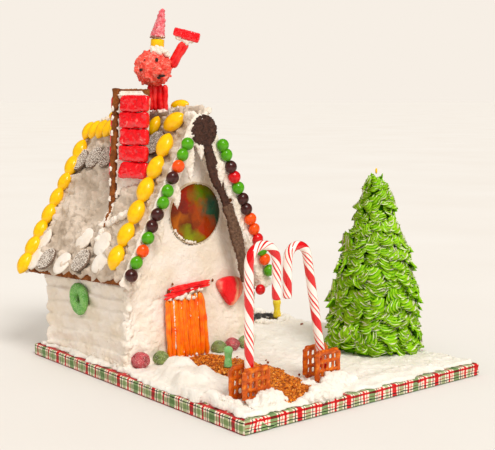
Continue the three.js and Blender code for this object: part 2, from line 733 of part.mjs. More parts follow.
// Square lattice pretzel, standing upright across Y.
function pretzel(name, x, y) {
  const { size, thick, cols, rows, bar } = PRETZEL;
  const cut = 3;
  const low = FLOOR;
  const outline = [
    [x + cut, low],
    [x + size - cut, low],
    [x + size, low + cut],
    [x + size, low + size - cut],
    [x + size - cut, low + size],
    [x + cut, low + size],
    [x, low + size - cut],
    [x, low + cut],
  ];
  const w = (size - bar * (cols + 1)) / cols;
  const h = (size - bar * (rows + 1)) / rows;
  let plate = toSolid(prismXZ(outline, y - thick / 2, y + thick / 2));
  for (let c = 0; c < cols; c++) {
    for (let r = 0; r < rows; r++) {
      const hole = new THREE.BoxGeometry(w, thick + 2, h);
      hole.translate(x + bar + c * (w + bar) + w / 2, y, low + bar + r * (h + bar) + h / 2);
      plate = plate.subtract(toSolid(hole));
    }
  }
  place(name, toGeometry(plate), PRETZEL_BROWN);
}

const PRETZELS = {
  pretzel_left_front: [-138, -160.5],
  pretzel_left_back: [-140.5, -144],
  pretzel_right_front: [-40, -152.5],
  pretzel_right_back: [-35, -129.5],
};

// ---------- tree, gumdrops, gummy figures ----------
function tree() {
  const rows = 11;
  const around = 14;
  const profile = [new THREE.Vector2(0, 0)];
  for (let k = 0; k <= rows; k++) {
    const t = k / rows;
    const j = Math.max(1, TREE_PROFILE.findIndex(([share]) => share >= Math.min(t, 0.98)));
    const [[a, ra], [b, rb]] = [TREE_PROFILE[j - 1], TREE_PROFILE[j]];
    const r = THREE.MathUtils.lerp(ra, rb, Math.min(1, (t - a) / (b - a))) * (1 + (k % 2 ? 0.03 : -0.02));
    profile.push(new THREE.Vector2(r, t * (TREE.height - 4)));
  }
  profile.push(new THREE.Vector2(0, TREE.height));
  const g = new THREE.LatheGeometry(profile, around).rotateX(Math.PI / 2);
  place("tree", g.translate(TREE.x, TREE.y, FLOOR), GREEN);
}

// x, radius and colour of each.
const GUMDROPS = {
  gumdrop_1: [-137, 10.4, PINK],
  gumdrop_2: [-111, 8.8, PALE_GREEN],
  gumdrop_3: [-34, 8.8, PALE_GREEN],
  gumdrop_4: [-15, 8.8, PINK],
  gumdrop_5: [4, 8.8, PALE_GREEN],
};

// Sugared dome against the wall, its flat foot on the icing.
function gumdrop(name, x, radius, colour) {
  const profile = [
    [0, 0],
    [1, 0],
    [0.94, 0.45],
    [0.72, 0.95],
    [0.38, 1.22],
    [0, 1.3],
  ].map(([r, h]) => new THREE.Vector2(r * radius, h * radius));
  const g = new THREE.LatheGeometry(profile, 10).rotateX(Math.PI);
  place(name, g.translate(x, WALL.front - GAP, FLOOR + radius), colour);
}

// Small sugared figure, a plain knobbed peg, standing a little above the snow.
function gummy(name, x, y, foot, height, colour) {
  const profile = [
    [0, 0],
    [0.22, 0],
    [0.2, 0.25],
    [0.15, 0.5],
    [0.2, 0.68],
    [0.22, 0.82],
    [0.13, 0.96],
    [0, 1],
  ].map(([r, h]) => new THREE.Vector2(r * height, h * height));
  const g = new THREE.LatheGeometry(profile, 8).rotateX(Math.PI / 2);
  place(name, g.translate(x, y, FLOOR + foot), colour);
}

board();
snow();
path();
pond();
roofs();
walls();
door();
lintel();
fruitSlice();
sugarRing();
chocolateTrim();
chimney();
roofCandies();
figure();
canes();
for (const [name, [x, y]] of Object.entries(PRETZELS)) pretzel(name, x, y);
tree();
for (const [name, [x, radius, colour]] of Object.entries(GUMDROPS)) gumdrop(name, x, radius, colour);
gummy("gummy_green", -71, -54, 2.6, 22, PALE_GREEN);
gummy("gummy_yellow", 130, 101, 2.6, 24, YELLOW);

export default group;
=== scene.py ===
"""Looks of a gingerbread house on a gift-wrapped board: spread icing, sweets, piped tree, crumb path.

Lengths are in millimetres up to the point where a mesh is made; Blender's own unit is the metre.
"""
import math
import random

import bmesh
import bpy
import numpy as np
from mathutils import Matrix, Vector, noise


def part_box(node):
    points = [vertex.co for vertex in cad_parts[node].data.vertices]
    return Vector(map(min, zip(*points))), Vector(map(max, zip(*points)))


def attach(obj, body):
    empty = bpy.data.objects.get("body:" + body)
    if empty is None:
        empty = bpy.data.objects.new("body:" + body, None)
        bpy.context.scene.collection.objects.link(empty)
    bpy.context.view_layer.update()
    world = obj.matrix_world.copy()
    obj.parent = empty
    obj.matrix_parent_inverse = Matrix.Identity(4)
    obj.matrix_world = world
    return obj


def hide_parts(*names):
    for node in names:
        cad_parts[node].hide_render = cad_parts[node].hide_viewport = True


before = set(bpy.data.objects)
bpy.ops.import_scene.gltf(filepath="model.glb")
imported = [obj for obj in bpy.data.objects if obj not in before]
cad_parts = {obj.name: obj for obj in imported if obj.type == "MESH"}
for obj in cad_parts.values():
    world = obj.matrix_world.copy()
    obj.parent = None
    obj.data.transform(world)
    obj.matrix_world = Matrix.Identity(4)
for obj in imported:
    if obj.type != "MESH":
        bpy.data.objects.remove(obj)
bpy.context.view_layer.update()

MM = 0.001
scene = bpy.context.scene
scene.view_settings.view_transform = "Standard"


# ---------- places taken from the frame ----------
def box(node):
    """Lowest and highest corner of a CAD node, in millimetres."""
    low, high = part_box(node)
    return np.array(low) / MM, np.array(high) / MM


def middle(node):
    low, high = box(node)
    return (low + high) / 2


def vertices(node):
    """All vertices of a CAD node, in millimetres."""
    return np.array([v.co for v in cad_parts[node].data.vertices]) / MM


def farthest(node, direction):
    """The node's vertex that lies farthest along a direction, in millimetres."""
    points = vertices(node)
    return points[np.argmax(points @ np.array(direction, float))]


BOARD_LOW, BOARD_HIGH = box("board")
FLOOR = box("door")[0][2]  # level of the snow round the house
WALL_LOW, WALL_HIGH = box("icing_front")
HOUSE_BACK = box("icing_back")[1][1]
DOOR_LOW, DOOR_HIGH = box("door")
WINDOW = middle("window")
WINDOW_RADIUS = (box("window")[1][0] - box("window")[0][0]) / 2


class Slope:
    """One side of the roof: its icing face as a patch, u up the slope and v from front to back."""

    def __init__(self, node, sign):
        out = np.array((sign * 0.87, 0, 0.49))
        up = np.array((-sign * 0.49, 0, 0.87))
        back = np.array((0, 1, 0))
        self.sign = sign
        self.corners = [
            [farthest(node, out + 3 * (su * up + sv * back)) for sv in (-1, 1)] for su in (-1, 1)
        ]

    def at(self, u, v, lift=0.0):
        """Point of the patch, lifted along its outward normal; u, v and lift may be arrays."""
        u, v, lift = (np.asarray(a, float)[..., None] for a in (u, v, lift))
        (a, b), (c, d) = self.corners
        low = a + (b - a) * v
        high = c + (d - c) * v
        rise = high - low
        normal = np.stack([self.sign * rise[..., 2], 0 * rise[..., 0], np.abs(rise[..., 0])], -1)
        normal /= np.linalg.norm(normal, axis=-1, keepdims=True)
        return low + rise * u + normal * lift

    def frame(self, u, v):
        """Axes at a point of the patch: up the slope, outwards, and front to back."""
        here = self.at(u, v)
        up = Vector(self.at(u + 0.01, v) - here).normalized()
        out = Vector(self.at(u, v, 1.0) - here).normalized()
        return up, out, up.cross(out)

    def height(self, x, y, depth=0.0):
        """Height of the patch over a point, lowered by depth."""
        v = (y - self.corners[0][0][1]) / (self.corners[0][1][1] - self.corners[0][0][1])
        a, b = self.at(0.0, v, -depth), self.at(1.0, v, -depth)
        t = (x - a[..., 0]) / (b[..., 0] - a[..., 0])
        return a[..., 2] + t * (b[..., 2] - a[..., 2])


LEFT = Slope("icing_roof_left", -1)
RIGHT = Slope("icing_roof_right", 1)
ROOF_DEPTH = 9.9  # icing, slab and clearances, from the icing's face to a wall top


# ---------- noise ----------
def grain(points, size, octaves=3, seed=0):
    """Smooth noise of about -1 to 1 at an array of points, its features about size across."""
    shift = Vector((17.3 * seed, 9.1 * seed, 5.7 * seed))
    flat = points.reshape(-1, 3) / size
    values = [noise.fractal(Vector(p) + shift, 1.0, 2.0, octaves) for p in flat]
    return np.array(values).reshape(points.shape[:-1])


def spread(points, size, seed=0, stretch=(1, 1, 1)):
    """Icing left by a knife, 0 to 1: smooth hollows between torn crests."""
    drawn = points * np.array(stretch)
    bend = grain(drawn, 2.2 * size, 2, seed + 3)
    crest = 1 - np.abs(grain(drawn + 0.7 * size * bend[..., None], size, 3, seed)) * 2.2
    return np.clip(crest, 0, 1) ** 2


def smoothstep(t):
    t = np.clip(t, 0, 1)
    return t * t * (3 - 2 * t)


# ---------- mesh building ----------
def signed_volume(points, faces):
    total = 0.0
    for face in faces:
        for k in range(1, len(face) - 1):
            total += np.dot(points[face[0]], np.cross(points[face[k]], points[face[k + 1]]))
    return total


def to_mesh(name, points, faces, crest=None):
    """Closed mesh from millimetre points, its faces turned outwards; crest is a value per point."""
    points = np.asarray(points, float)
    faces = [tuple(int(k) for k in f) for f in faces]
    if signed_volume(points, faces) < 0:
        faces = [f[::-1] for f in faces]
    mesh = bpy.data.meshes.new(name)
    mesh.from_pydata((points * MM).tolist(), [], faces)
    if crest is not None:
        mesh.attributes.new("crest", "FLOAT", "POINT").data.foreach_set("value", np.ravel(crest))
    return mesh


def shell(top, under, keep=None):
    """Points and faces of the body between two grids of points, over the cells that are kept."""
    nu, nv = top.shape[0] - 1, top.shape[1] - 1
    keep = np.ones((nu, nv), bool) if keep is None else keep
    index = np.arange((nu + 1) * (nv + 1)).reshape(nu + 1, nv + 1)
    upper = [index[:-1, :-1], index[1:, :-1], index[1:, 1:], index[:-1, 1:]]
    lower = [k + index.size for k in upper]
    quads = [np.stack(upper, -1)[keep], np.stack(lower[::-1], -1)[keep]]
    open_cells = ~np.pad(keep, 1)
    sides = [(0, 3, open_cells[:-2, 1:-1]), (1, 0, open_cells[1:-1, :-2]), (2, 1, open_cells[2:, 1:-1])]
    sides.append((3, 2, open_cells[1:-1, 2:]))
    for a, b, bare in sides:
        quads.append(np.stack([upper[a], upper[b], lower[b], lower[a]], -1)[keep & bare])
    faces = np.concatenate(quads)
    used, faces = np.unique(faces, return_inverse=True)
    points = np.concatenate([top.reshape(-1, 3), under.reshape(-1, 3)])[used]
    return points, faces.reshape(-1, 4), used


def grid(nu, nv):
    return np.meshgrid(np.linspace(0, 1, nu + 1), np.linspace(0, 1, nv + 1), indexing="ij")


def merge(parts):
    """Several (points, faces) as one."""
    points, faces, count = [], [], 0
    for p, f in parts:
        points.append(np.asarray(p, float))
        faces += [tuple(int(k) + count for k in face) for face in f]
        count += len(p)
    return np.concatenate(points), faces


def band_faces(rows, count):
    """Quads between rows + 1 closed rings of count points each."""
    faces = []
    for i in range(rows):
        for k in range(count):
            n = (k + 1) % count
            faces.append((i * count + k, i * count + n, (i + 1) * count + n, (i + 1) * count + k))
    return faces


def capped_faces(rows, count):
    """The same with a face over the first and the last ring."""
    last = rows * count
    caps = [tuple(range(count))[::-1], tuple(range(last, last + count))]
    return band_faces(rows, count) + caps


def tube(path, radii, sides=12, section=None, twist=0.0):
    """Closed tube along a path; section gives a factor for an angle, twist turns it end to end."""
    path = np.asarray(path, float)
    radii = np.broadcast_to(radii, len(path))
    tangents = np.gradient(path, axis=0)
    tangents /= np.linalg.norm(tangents, axis=1, keepdims=True)
    side = np.cross(tangents[0], (0.31, 0.87, 0.38))
    points, turns = [], np.linspace(0, twist, len(path))
    for p, t, r, turn in zip(path, tangents, radii, turns):
        side = side - t * np.dot(side, t)
        side /= np.linalg.norm(side)
        across = np.cross(t, side)
        for k in range(sides):
            a = 2 * math.pi * k / sides
            reach = r * (section(a) if section else 1)
            points.append(p + reach * (math.cos(a + turn) * side + math.sin(a + turn) * across))
    return np.array(points), capped_faces(len(path) - 1, sides)


def ball(centre, size, axes=None, rings=12, around=18, profile=None):
    """Ellipsoid of full sizes along three axes; its poles are on the last axis."""
    axes = np.eye(3) if axes is None else np.array(axes, float)
    profile = profile or (lambda t: math.sqrt(max(0.0, 1 - t * t)))
    points = [(0, 0, -1)]
    for i in range(1, rings):
        t = -math.cos(math.pi * i / rings)
        r = profile(t)
        for k in range(around):
            a = 2 * math.pi * k / around
            points.append((r * math.cos(a), r * math.sin(a), t))
    points.append((0, 0, 1))
    last = len(points) - 1
    faces = [(0, 1 + (k + 1) % around, 1 + k) for k in range(around)]
    for i in range(rings - 2):
        for k in range(around):
            a, b = 1 + i * around + k, 1 + i * around + (k + 1) % around
            faces.append((a, b, b + around, a + around))
    base = 1 + (rings - 2) * around
    faces += [(base + k, base + (k + 1) % around, last) for k in range(around)]
    shaped = (np.array(points) * np.array(size) / 2) @ axes + np.array(centre, float)
    return shaped, faces


def fused(name, parts, voxel, rough=0.0, size=6.0, seed=0, rounds=2):
    """One skin over overlapping closed parts, smoothed, then roughened like torn icing."""
    made = skinned(to_mesh(name + "_parts", *merge(parts)), voxel, rounds)
    made.name = name
    if rough:
        roughen(made, rough, size, seed)
    return made


def skinned(mesh, voxel, rounds):
    """One skin of even squares round everything in a mesh, smoothed."""
    scratch = bpy.data.objects.new(mesh.name, mesh)
    scene.collection.objects.link(scratch)
    remesh = scratch.modifiers.new("skin", "REMESH")
    remesh.mode = "VOXEL"
    remesh.voxel_size = voxel * MM
    scratch.modifiers.new("soften", "SMOOTH").iterations = rounds
    made = evaluated(scratch)
    bpy.data.objects.remove(scratch)
    return made


def evaluated(obj):
    """Plain mesh of an object with its modifiers applied."""
    depsgraph = bpy.context.evaluated_depsgraph_get()
    depsgraph.update()
    return bpy.data.meshes.new_from_object(obj.evaluated_get(depsgraph))


HEAVY = 12000  # triangles; a piece with more of them is thinned out
THINNED = 0.45  # share of its triangles that such a piece keeps


def thinned(mesh):
    """The same surface with fewer triangles where it is flattest, if it has many."""
    mesh.calc_loop_triangles()
    if len(mesh.loop_triangles) < HEAVY:
        return mesh
    scratch = bpy.data.objects.new("thinned", mesh)
    scene.collection.objects.link(scratch)
    scratch.modifiers.new("thin", "DECIMATE").ratio = THINNED
    made = evaluated(scratch)
    bpy.data.objects.remove(scratch)
    bpy.data.meshes.remove(mesh)
    return made


def roughen(mesh, depth, size, seed=0, torn=True):
    """Moves each vertex along its normal, by torn crests or by plain noise."""
    count = len(mesh.vertices)
    places, normals = np.zeros(count * 3), np.zeros(count * 3)
    mesh.vertices.foreach_get("co", places)
    mesh.vertices.foreach_get("normal", normals)
    points = places.reshape(-1, 3) / MM
    lift = spread(points, size, seed) - 0.4 if torn else grain(points, size, 3, seed)
    moved = points + normals.reshape(-1, 3) * (depth * lift)[:, None]
    mesh.vertices.foreach_set("co", (moved * MM).ravel())
    mesh.update()


def piece(name, mesh, material, nodes=(), smooth=True):
    """Puts a finished mesh in the scene, riding on the display and standing for CAD nodes."""
    mesh = thinned(mesh)
    mesh.name = name
    mesh.materials.clear()
    for m in material if isinstance(material, list) else [material]:
        mesh.materials.append(m)
    if smooth:
        mesh.shade_smooth()
    obj = bpy.data.objects.new(name, mesh)
    scene.collection.objects.link(obj)
    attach(obj, "root")
    if nodes:
        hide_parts(*nodes)
    return obj


def built(name, parts, material, nodes=(), smooth=True):
    return piece(name, to_mesh(name, *merge(parts)), material, nodes, smooth)


# ---------- node trees ----------
def add(tree, kind, links=None, **settings):
    """Adds a node with its settings, and links or values for its inputs; returns the node."""
    made = tree.nodes.new(kind)
    for key, value in settings.items():
        setattr(made, key, value)
    for socket, source in (links or {}).items():
        if isinstance(source, bpy.types.NodeSocket):
            tree.links.new(source, made.inputs[socket])
        else:
            made.inputs[socket].default_value = source
    return made


def tone(code):
    """sRGB hex to linear colour with alpha."""
    parts = [int(code[k : k + 2], 16) / 255 for k in (1, 3, 5)]
    return [*(p / 12.92 if p <= 0.04045 else ((p + 0.055) / 1.055) ** 2.4 for p in parts), 1.0]


def surface(name, scatter=None, **values):
    """New material; underscores in a value's name stand for the spaces in its socket's name.

    scatter is how far red, green and blue light travel under the skin, in millimetres.
    """
    material = bpy.data.materials.new(name)
    material.use_nodes = True
    tree = material.node_tree
    tree.nodes.clear()
    shader = add(tree, "ShaderNodeBsdfPrincipled")
    for key, value in values.items():
        shader.inputs[key.replace("_", " ")].default_value = value
    if scatter:
        shader.inputs["Subsurface Radius"].default_value = [reach * MM for reach in scatter]
        shader.inputs["Subsurface Scale"].default_value = 1.0
    add(tree, "ShaderNodeOutputMaterial", {"Surface": shader.outputs[0]})
    place = add(tree, "ShaderNodeTexCoord").outputs["Object"]
    return material, tree, shader, place


def noise_map(tree, place, size, detail=3.0, rough=0.55, bend=0.0):
    """Noise whose features are about size millimetres across."""
    links = {
        "Vector": place, "Scale": 1 / (size * MM), "Detail": detail, "Roughness": rough, "Distortion": bend
    }
    return add(tree, "ShaderNodeTexNoise", links).outputs["Fac"]


def cells(tree, place, size, feature="F1"):
    """Distance to the nearest of scattered points about size millimetres apart."""
    links = {"Vector": place, "Scale": 1 / (size * MM)}
    return add(tree, "ShaderNodeTexVoronoi", links, feature=feature).outputs["Distance"]


def own_value(tree):
    """The value called crest that a mesh carries on its points or its copies."""
    return add(tree, "ShaderNodeAttribute", attribute_name="crest").outputs["Fac"]


def ramp(tree, value, stops, interpolation="LINEAR"):
    """Colours by position along a value: stops are (position, hex)."""
    made = add(tree, "ShaderNodeValToRGB", {"Fac": value})
    made.color_ramp.interpolation = interpolation
    elements = made.color_ramp.elements
    while len(elements) < len(stops):
        elements.new(0.5)
    for element, (position, code) in zip(elements, stops):
        element.position = position
        element.color = tone(code)
    return made.outputs["Color"]


def mix(tree, kind, factor, a, b):
    made = add(tree, "ShaderNodeMix", {0: factor, 6: a, 7: b}, data_type="RGBA", blend_type=kind)
    return made.outputs[2]


def maths(tree, operation, a, b=0.0, clamp=False):
    return add(tree, "ShaderNodeMath", {0: a, 1: b}, operation=operation, use_clamp=clamp).outputs[0]


def bump(tree, shader, height, depth, strength=1.0):
    """Relief of depth millimetres from a 0 to 1 height."""
    links = {"Height": height, "Strength": strength, "Distance": depth * MM}
    tree.links.new(add(tree, "ShaderNodeBump", links).outputs[0], shader.inputs["Normal"])


def colour(tree, shader, source):
    tree.links.new(source, shader.inputs["Base Color"])


def dabs(across, up, size, seed, aim=-90.0, stray=70.0, count=None):
    """Knife dabs over a flat sheet, 0 to about 1: smooth tongues, each ending in a raised lip on the next."""
    rng = random.Random(seed)
    x0, x1, y0, y1 = across.min(), across.max(), up.min(), up.max()
    count = count or int(2.2 * (x1 - x0) * (y1 - y0) / size**2)
    best = np.full(across.shape, -1.0)
    for _ in range(count):
        a = math.radians(aim + rng.uniform(-stray, stray))
        length, width = size * rng.uniform(0.6, 1.3), size * rng.uniform(0.35, 0.7)
        dx, dy = across - rng.uniform(x0, x1), up - rng.uniform(y0, y1)
        s, t = (dx * math.cos(a) + dy * math.sin(a)) / length, (dy * math.cos(a) - dx * math.sin(a)) / width
        tip, flank = np.maximum(s - 0.8, 0), np.maximum(np.abs(t) - 0.8, 0)
        ends = 14 * tip**2 + 6 * flank**2
        level = rng.uniform(0.0, 0.45) + 0.62 * s - 0.25 * s * s - 0.3 * t * t - ends
        best = np.maximum(best, level + 0.14 * np.sin(5 * t + 2 * s))
    return np.clip(best, -0.2, 1.4)


# ---------- materials ----------
def buttercream(name, light, shade, grit=1.6):
    """Beaten butter and sugar: matt, a little translucent, with fine bubbles and drag marks."""
    material, tree, shader, place = surface(
        name, (3, 2.2, 1.4), Roughness=0.6, IOR=1.45, Subsurface_Weight=0.06
    )
    patches = ramp(tree, noise_map(tree, place, 26, 4), [(0.35, shade), (0.62, light)])
    # Gingerbread crumbs dragged into the icing, a fifth of a millimetre to one millimetre.
    specks = maths(tree, "LESS_THAN", cells(tree, place, 9), 0.052)
    rare = maths(tree, "GREATER_THAN", noise_map(tree, place, 21, 1), 0.56)
    crumb = maths(tree, "MULTIPLY", specks, rare)
    colour(tree, shader, mix(tree, "MIX", maths(tree, "MULTIPLY", crumb, 0.75), patches, tone("#9a5c2c")))
    drag = noise_map(tree, place, 7, 5, 0.6, 0.6)
    bubbles = noise_map(tree, place, grit, 3)
    bump(tree, shader, maths(tree, "ADD", maths(tree, "MULTIPLY", drag, 2.2), bubbles), 0.7)
    return material


def gingerbread():
    """Baked spice dough: dry and matt, darker at the crust, with painted shade in small spots for the pits of
    its raising.
    """
    material, tree, shader, place = surface("baked_gingerbread", Roughness=0.9, IOR=1.4)
    crust = ramp(
        tree, noise_map(tree, place, 9, 5, 0.7), [(0.3, "#4a2208"), (0.5, "#8a4a17"), (0.72, "#b36a28")]
    )
    # Painted shade: small dark spots stand for the shade inside pits left by the raising.
    pit_shade = maths(tree, "LESS_THAN", cells(tree, place, 2.6), 0.16)
    colour(tree, shader, mix(tree, "MIX", maths(tree, "MULTIPLY", pit_shade, 0.8), crust, tone("#2c1305")))
    bump(tree, shader, noise_map(tree, place, 1.4, 5, 0.7), 1.2)
    return material


def sugar_shell(name, code, deep):
    """Panned sugar shell, polished with wax: a clear gloss over colour that is slightly mottled."""
    material, tree, shader, place = surface(
        name, Roughness=0.3, IOR=1.5, Specular_IOR_Level=0.25, Coat_Weight=0.4, Coat_Roughness=0.1
    )
    colour(tree, shader, ramp(tree, noise_map(tree, place, 5, 3), [(0.3, deep), (0.6, code)]))
    bump(tree, shader, noise_map(tree, place, 2.4, 2), 0.05)
    return material


def licorice(name, code, deep, lift):
    """Extruded sweet dough, oiled: soft gloss, colour streaked along the strand."""
    material, tree, shader, place = surface(
        name, (2.4, 0.8, 0.4), Roughness=0.3, IOR=1.47, Specular_IOR_Level=0.25, Coat_Weight=0.4,
        Coat_Roughness=0.1, Subsurface_Weight=0.06
    )
    colour(
        tree, shader,
        ramp(tree, noise_map(tree, place, 9, 2, 0.5), [(0.3, deep), (0.48, code), (0.75, lift)])
    )
    bump(tree, shader, noise_map(tree, place, 2.4, 2), 0.2)
    return material


def jelly(name, code, deep, lift):
    """Cast fruit jelly: wet gloss over a body that lets light in, cloudy in folded swirls, its palest streaks
    painted highlight.
    """
    material, tree, shader, place = surface(
        name, (5, 0.9, 0.7), Roughness=0.25, IOR=1.42, Specular_IOR_Level=0.3, Coat_Weight=1.0,
        Coat_Roughness=0.08, Subsurface_Weight=0.15
    )
    folds_and_glints = noise_map(tree, place, 7, 3, 0.5, 1.2)
    # The last colour, lift, is painted highlight: pale streaks where the noise runs highest.
    colour(tree, shader, ramp(tree, folds_and_glints, [(0.3, deep), (0.5, code), (0.64, code), (0.7, lift)]))
    bump(tree, shader, noise_map(tree, place, 5, 3, 0.5, 1.0), 1.8)
    return material


def sugared(name, code, deep, cover=0.42):
    """Jelly rolled in sugar: half-millimetre grains that whiten and roughen the colour below."""
    material, tree, shader, place = surface(
        name, (2, 2, 1), Roughness=0.55, IOR=1.5, Specular_IOR_Level=0.3, Subsurface_Weight=0.08
    )
    below = ramp(tree, noise_map(tree, place, 7, 3), [(0.34, deep), (0.62, code)])
    # Grains are drawn at 0.8 mm, a little coarser than real, so that they show.
    grains = cells(tree, place, 0.8)
    dusting = maths(tree, "MULTIPLY", maths(tree, "LESS_THAN", grains, 0.34), noise_map(tree, place, 5, 2))
    colour(
        tree, shader,
        mix(tree, "MIX", maths(tree, "MULTIPLY", dusting, 2 * cover, True), below, tone("#fbf6ea"))
    )
    bump(tree, shader, maths(tree, "SUBTRACT", 1.0, grains), 0.5)
    return material


def frosting(name, code, deep, lift):
    """Coloured frosting, torn by the knife: satin, streaked with colour that was not beaten in."""
    material, tree, shader, place = surface(
        name, (2.5, 0.8, 0.6), Roughness=0.42, IOR=1.45, Specular_IOR_Level=0.3, Subsurface_Weight=0.08
    )
    streaks = noise_map(tree, place, 5, 5, 0.65, 1.5)
    colour(tree, shader, ramp(tree, streaks, [(0.32, deep), (0.5, code), (0.68, lift)]))
    bump(tree, shader, noise_map(tree, place, 1.8, 4, 0.6, 0.8), 0.8)
    return material


def chocolate(name, code, deep, grit):
    """Broken chocolate: dull, waxy, with a torn grain."""
    material, tree, shader, place = surface(name, Roughness=0.5, IOR=1.46)
    colour(tree, shader, ramp(tree, noise_map(tree, place, 3, 5, 0.7), [(0.32, deep), (0.62, code)]))
    bump(tree, shader, noise_map(tree, place, grit, 5, 0.7), 1.1)
    return material


def stained_sugar():
    """Boiled sugar poured clear over melted drops: hard gloss, soft clouds of several colours."""
    material, tree, shader, place = surface(
        "boiled_sugar_window", Roughness=0.25, IOR=1.5, Specular_IOR_Level=0.12, Coat_Weight=0.12
    )
    links = {"Vector": place, "Scale": 1 / (15 * MM), "Detail": 2.0}
    clouds = add(tree, "ShaderNodeTexNoise", links).outputs["Color"]
    drift = add(tree, "ShaderNodeVectorMath", {0: clouds, 1: (-0.5, -0.5, -0.5)}, operation="ADD").outputs[0]
    drift = add(tree, "ShaderNodeVectorMath", {0: drift, "Scale": 34 * MM}, operation="SCALE").outputs[0]
    moved = add(tree, "ShaderNodeVectorMath", {0: place, 1: drift}, operation="ADD").outputs[0]
    centre = WINDOW * MM
    result = tone("#7a3206")
    for dx, dz, reach, code in POOLS:
        spot = (centre[0] + dx * MM, centre[1], centre[2] + dz * MM)
        away = add(tree, "ShaderNodeVectorMath", {0: moved, 1: spot}, operation="DISTANCE").outputs["Value"]
        near = maths(tree, "SUBTRACT", 1.0, maths(tree, "DIVIDE", away, reach * MM), True)
        near = maths(tree, "POWER", near, 0.7)
        result = mix(tree, "MIX", near, result, tone(code))
    seeds = maths(tree, "LESS_THAN", cells(tree, place, 2.2), 0.14)
    colour(tree, shader, mix(tree, "MIX", maths(tree, "MULTIPLY", seeds, 0.16), result, tone("#d89a4a")))
    bump(tree, shader, noise_map(tree, place, 4, 4), 0.5)
    return material


# Drops melted into the window: offset right and up from its middle, reach and colour.
POOLS = [
    (-12, 20, 21, "#b01c0a"),
    (-17, 6, 17, "#5c1c18"),
    (8, 22, 19, "#4a7a04"),
    (24, 6, 20, "#045844"),
    (26, -8, 14, "#0c4c34"),
    (2, -2, 17, "#b04602"),
    (14, -16, 16, "#a42a02"),
    (-22, -8, 16, "#c06806"),
    (-8, -12, 15, "#481a06"),
    (-4, -26, 18, "#8a9c00"),
]


def gift_paper():
    """Coated gift wrap printed with a tartan; its map is in millimetres and folds over the edges."""
    material, tree, shader, place = surface("tartan_gift_wrap", Roughness=0.36, IOR=1.5, Specular_IOR_Level=0.3)
    unwrapped = add(tree, "ShaderNodeUVMap", uv_map="wrap").outputs[0]
    axes = add(tree, "ShaderNodeSeparateXYZ", {"Vector": unwrapped})
    bands = []
    for axis, shift in (("X", SETT_SHIFT[0]), ("Y", SETT_SHIFT[1])):
        along = maths(tree, "DIVIDE", maths(tree, "ADD", axes.outputs[axis], shift), SETT)
        bands.append(ramp(tree, maths(tree, "FRACT", along), TARTAN, "CONSTANT"))
    print_colour = mix(tree, "MULTIPLY", 1.0, *bands)
    worn = ramp(tree, noise_map(tree, place, 14, 4), [(0.3, "#e2d3ba"), (0.6, "#f2e6d2")])
    colour(tree, shader, mix(tree, "MULTIPLY", 1.0, print_colour, worn))
    bump(tree, shader, noise_map(tree, place, 9, 4, 0.5, 0.8), 1.1)
    return material


def tartan_stops():
    """One repeat as colour stops: (start, end, colour) stripes on a cream ground."""
    red, pale, green, dark = "#e01420", "#b4caa6", "#86ad7c", "#223e2e"
    stripes = [
        (0.0, 0.05, red), (0.085, 0.1, dark), (0.12, 0.215, pale), (0.247, 0.265, dark), (0.305, 0.345, red)
    ]
    stripes += [
        (0.38, 0.395, red), (0.44, 0.57, green), (0.6, 0.615, dark), (0.645, 0.66, red), (0.7, 0.75, red)
    ]
    stripes += [(0.79, 0.87, pale), (0.905, 0.925, dark), (0.96, 0.972, red)]
    stops = []
    for start, end, code in stripes:
        stops += [(start, code), (end, "#ffffff")]
    return stops[:-1]


SETT = 63.0  # one repeat of the tartan
SETT_SHIFT = (222.0, 240.8)
TARTAN = tartan_stops()


def cane_stripes(name):
    """Pulled boiled sugar: white rope wound with one broad red stripe and thin ones, polished."""
    material, tree, shader, place = surface(
        name, (2, 1, 1), Roughness=0.18, IOR=1.5, Coat_Weight=0.5, Subsurface_Weight=0.08
    )
    axes = add(
        tree, "ShaderNodeSeparateXYZ", {"Vector": add(tree, "ShaderNodeUVMap", uv_map="wind").outputs[0]}
    )
    turn = maths(tree, "FRACT", maths(tree, "ADD", axes.outputs["X"], axes.outputs["Y"]))
    white, red, pink = "#faf2e8", "#dd0a14", "#ea4a4c"
    stops = [
        (0.0, red), (0.3, white), (0.42, pink), (0.47, white), (0.55, red), (0.62, white), (0.72, pink),
        (0.76, white)
    ]
    colour(tree, shader, ramp(tree, turn, stops, "CONSTANT"))
    bump(tree, shader, noise_map(tree, place, 6, 2), 0.12)
    return material


def pretzel_crust():
    """Lye-dipped dough: a thin glassy crust, chestnut brown and paler where it split."""
    material, tree, shader, place = surface(
        "pretzel_crust", Roughness=0.34, IOR=1.46, Specular_IOR_Level=0.3, Coat_Weight=0.3,
        Coat_Roughness=0.15
    )
    crust = ramp(
        tree, noise_map(tree, place, 6, 4, 0.65), [(0.3, "#963800"), (0.52, "#cc5600"), (0.72, "#ee8a1c")]
    )
    colour(tree, shader, crust)
    bump(tree, shader, noise_map(tree, place, 1.6, 3), 0.3)
    return material


def piped_green():
    """Green frosting: soft, buttery, with painted highlights on the sharp ridges that the nozzle drew and
    painted shade in the troughs between them.
    """
    material, tree, shader, place = surface(
        "piped_green_frosting", (1.5, 2.5, 0.5), Roughness=0.5, IOR=1.45, Specular_IOR_Level=0.2,
        Subsurface_Weight=0.04
    )
    crest = own_value(tree)
    # The crest value paints the light: pale highlight colours on each ridge, dark green painted shade in the
    # troughs; the noise adds a random mottle.
    mottled = maths(tree, "ADD", crest, maths(tree, "MULTIPLY", noise_map(tree, place, 12, 3), 0.5))
    colour(
        tree, shader,
        ramp(
            tree, mottled,
            [
                (0.2, "#2c7800"), (0.38, "#70bc04"), (0.8, "#9cd80a"), (1.0, "#b6e03c"), (1.1, "#dcefa0"),
                (1.2, "#f6f8d4")
            ]
        )
    )
    bump(tree, shader, noise_map(tree, place, 1.2, 3), 0.3)
    return material


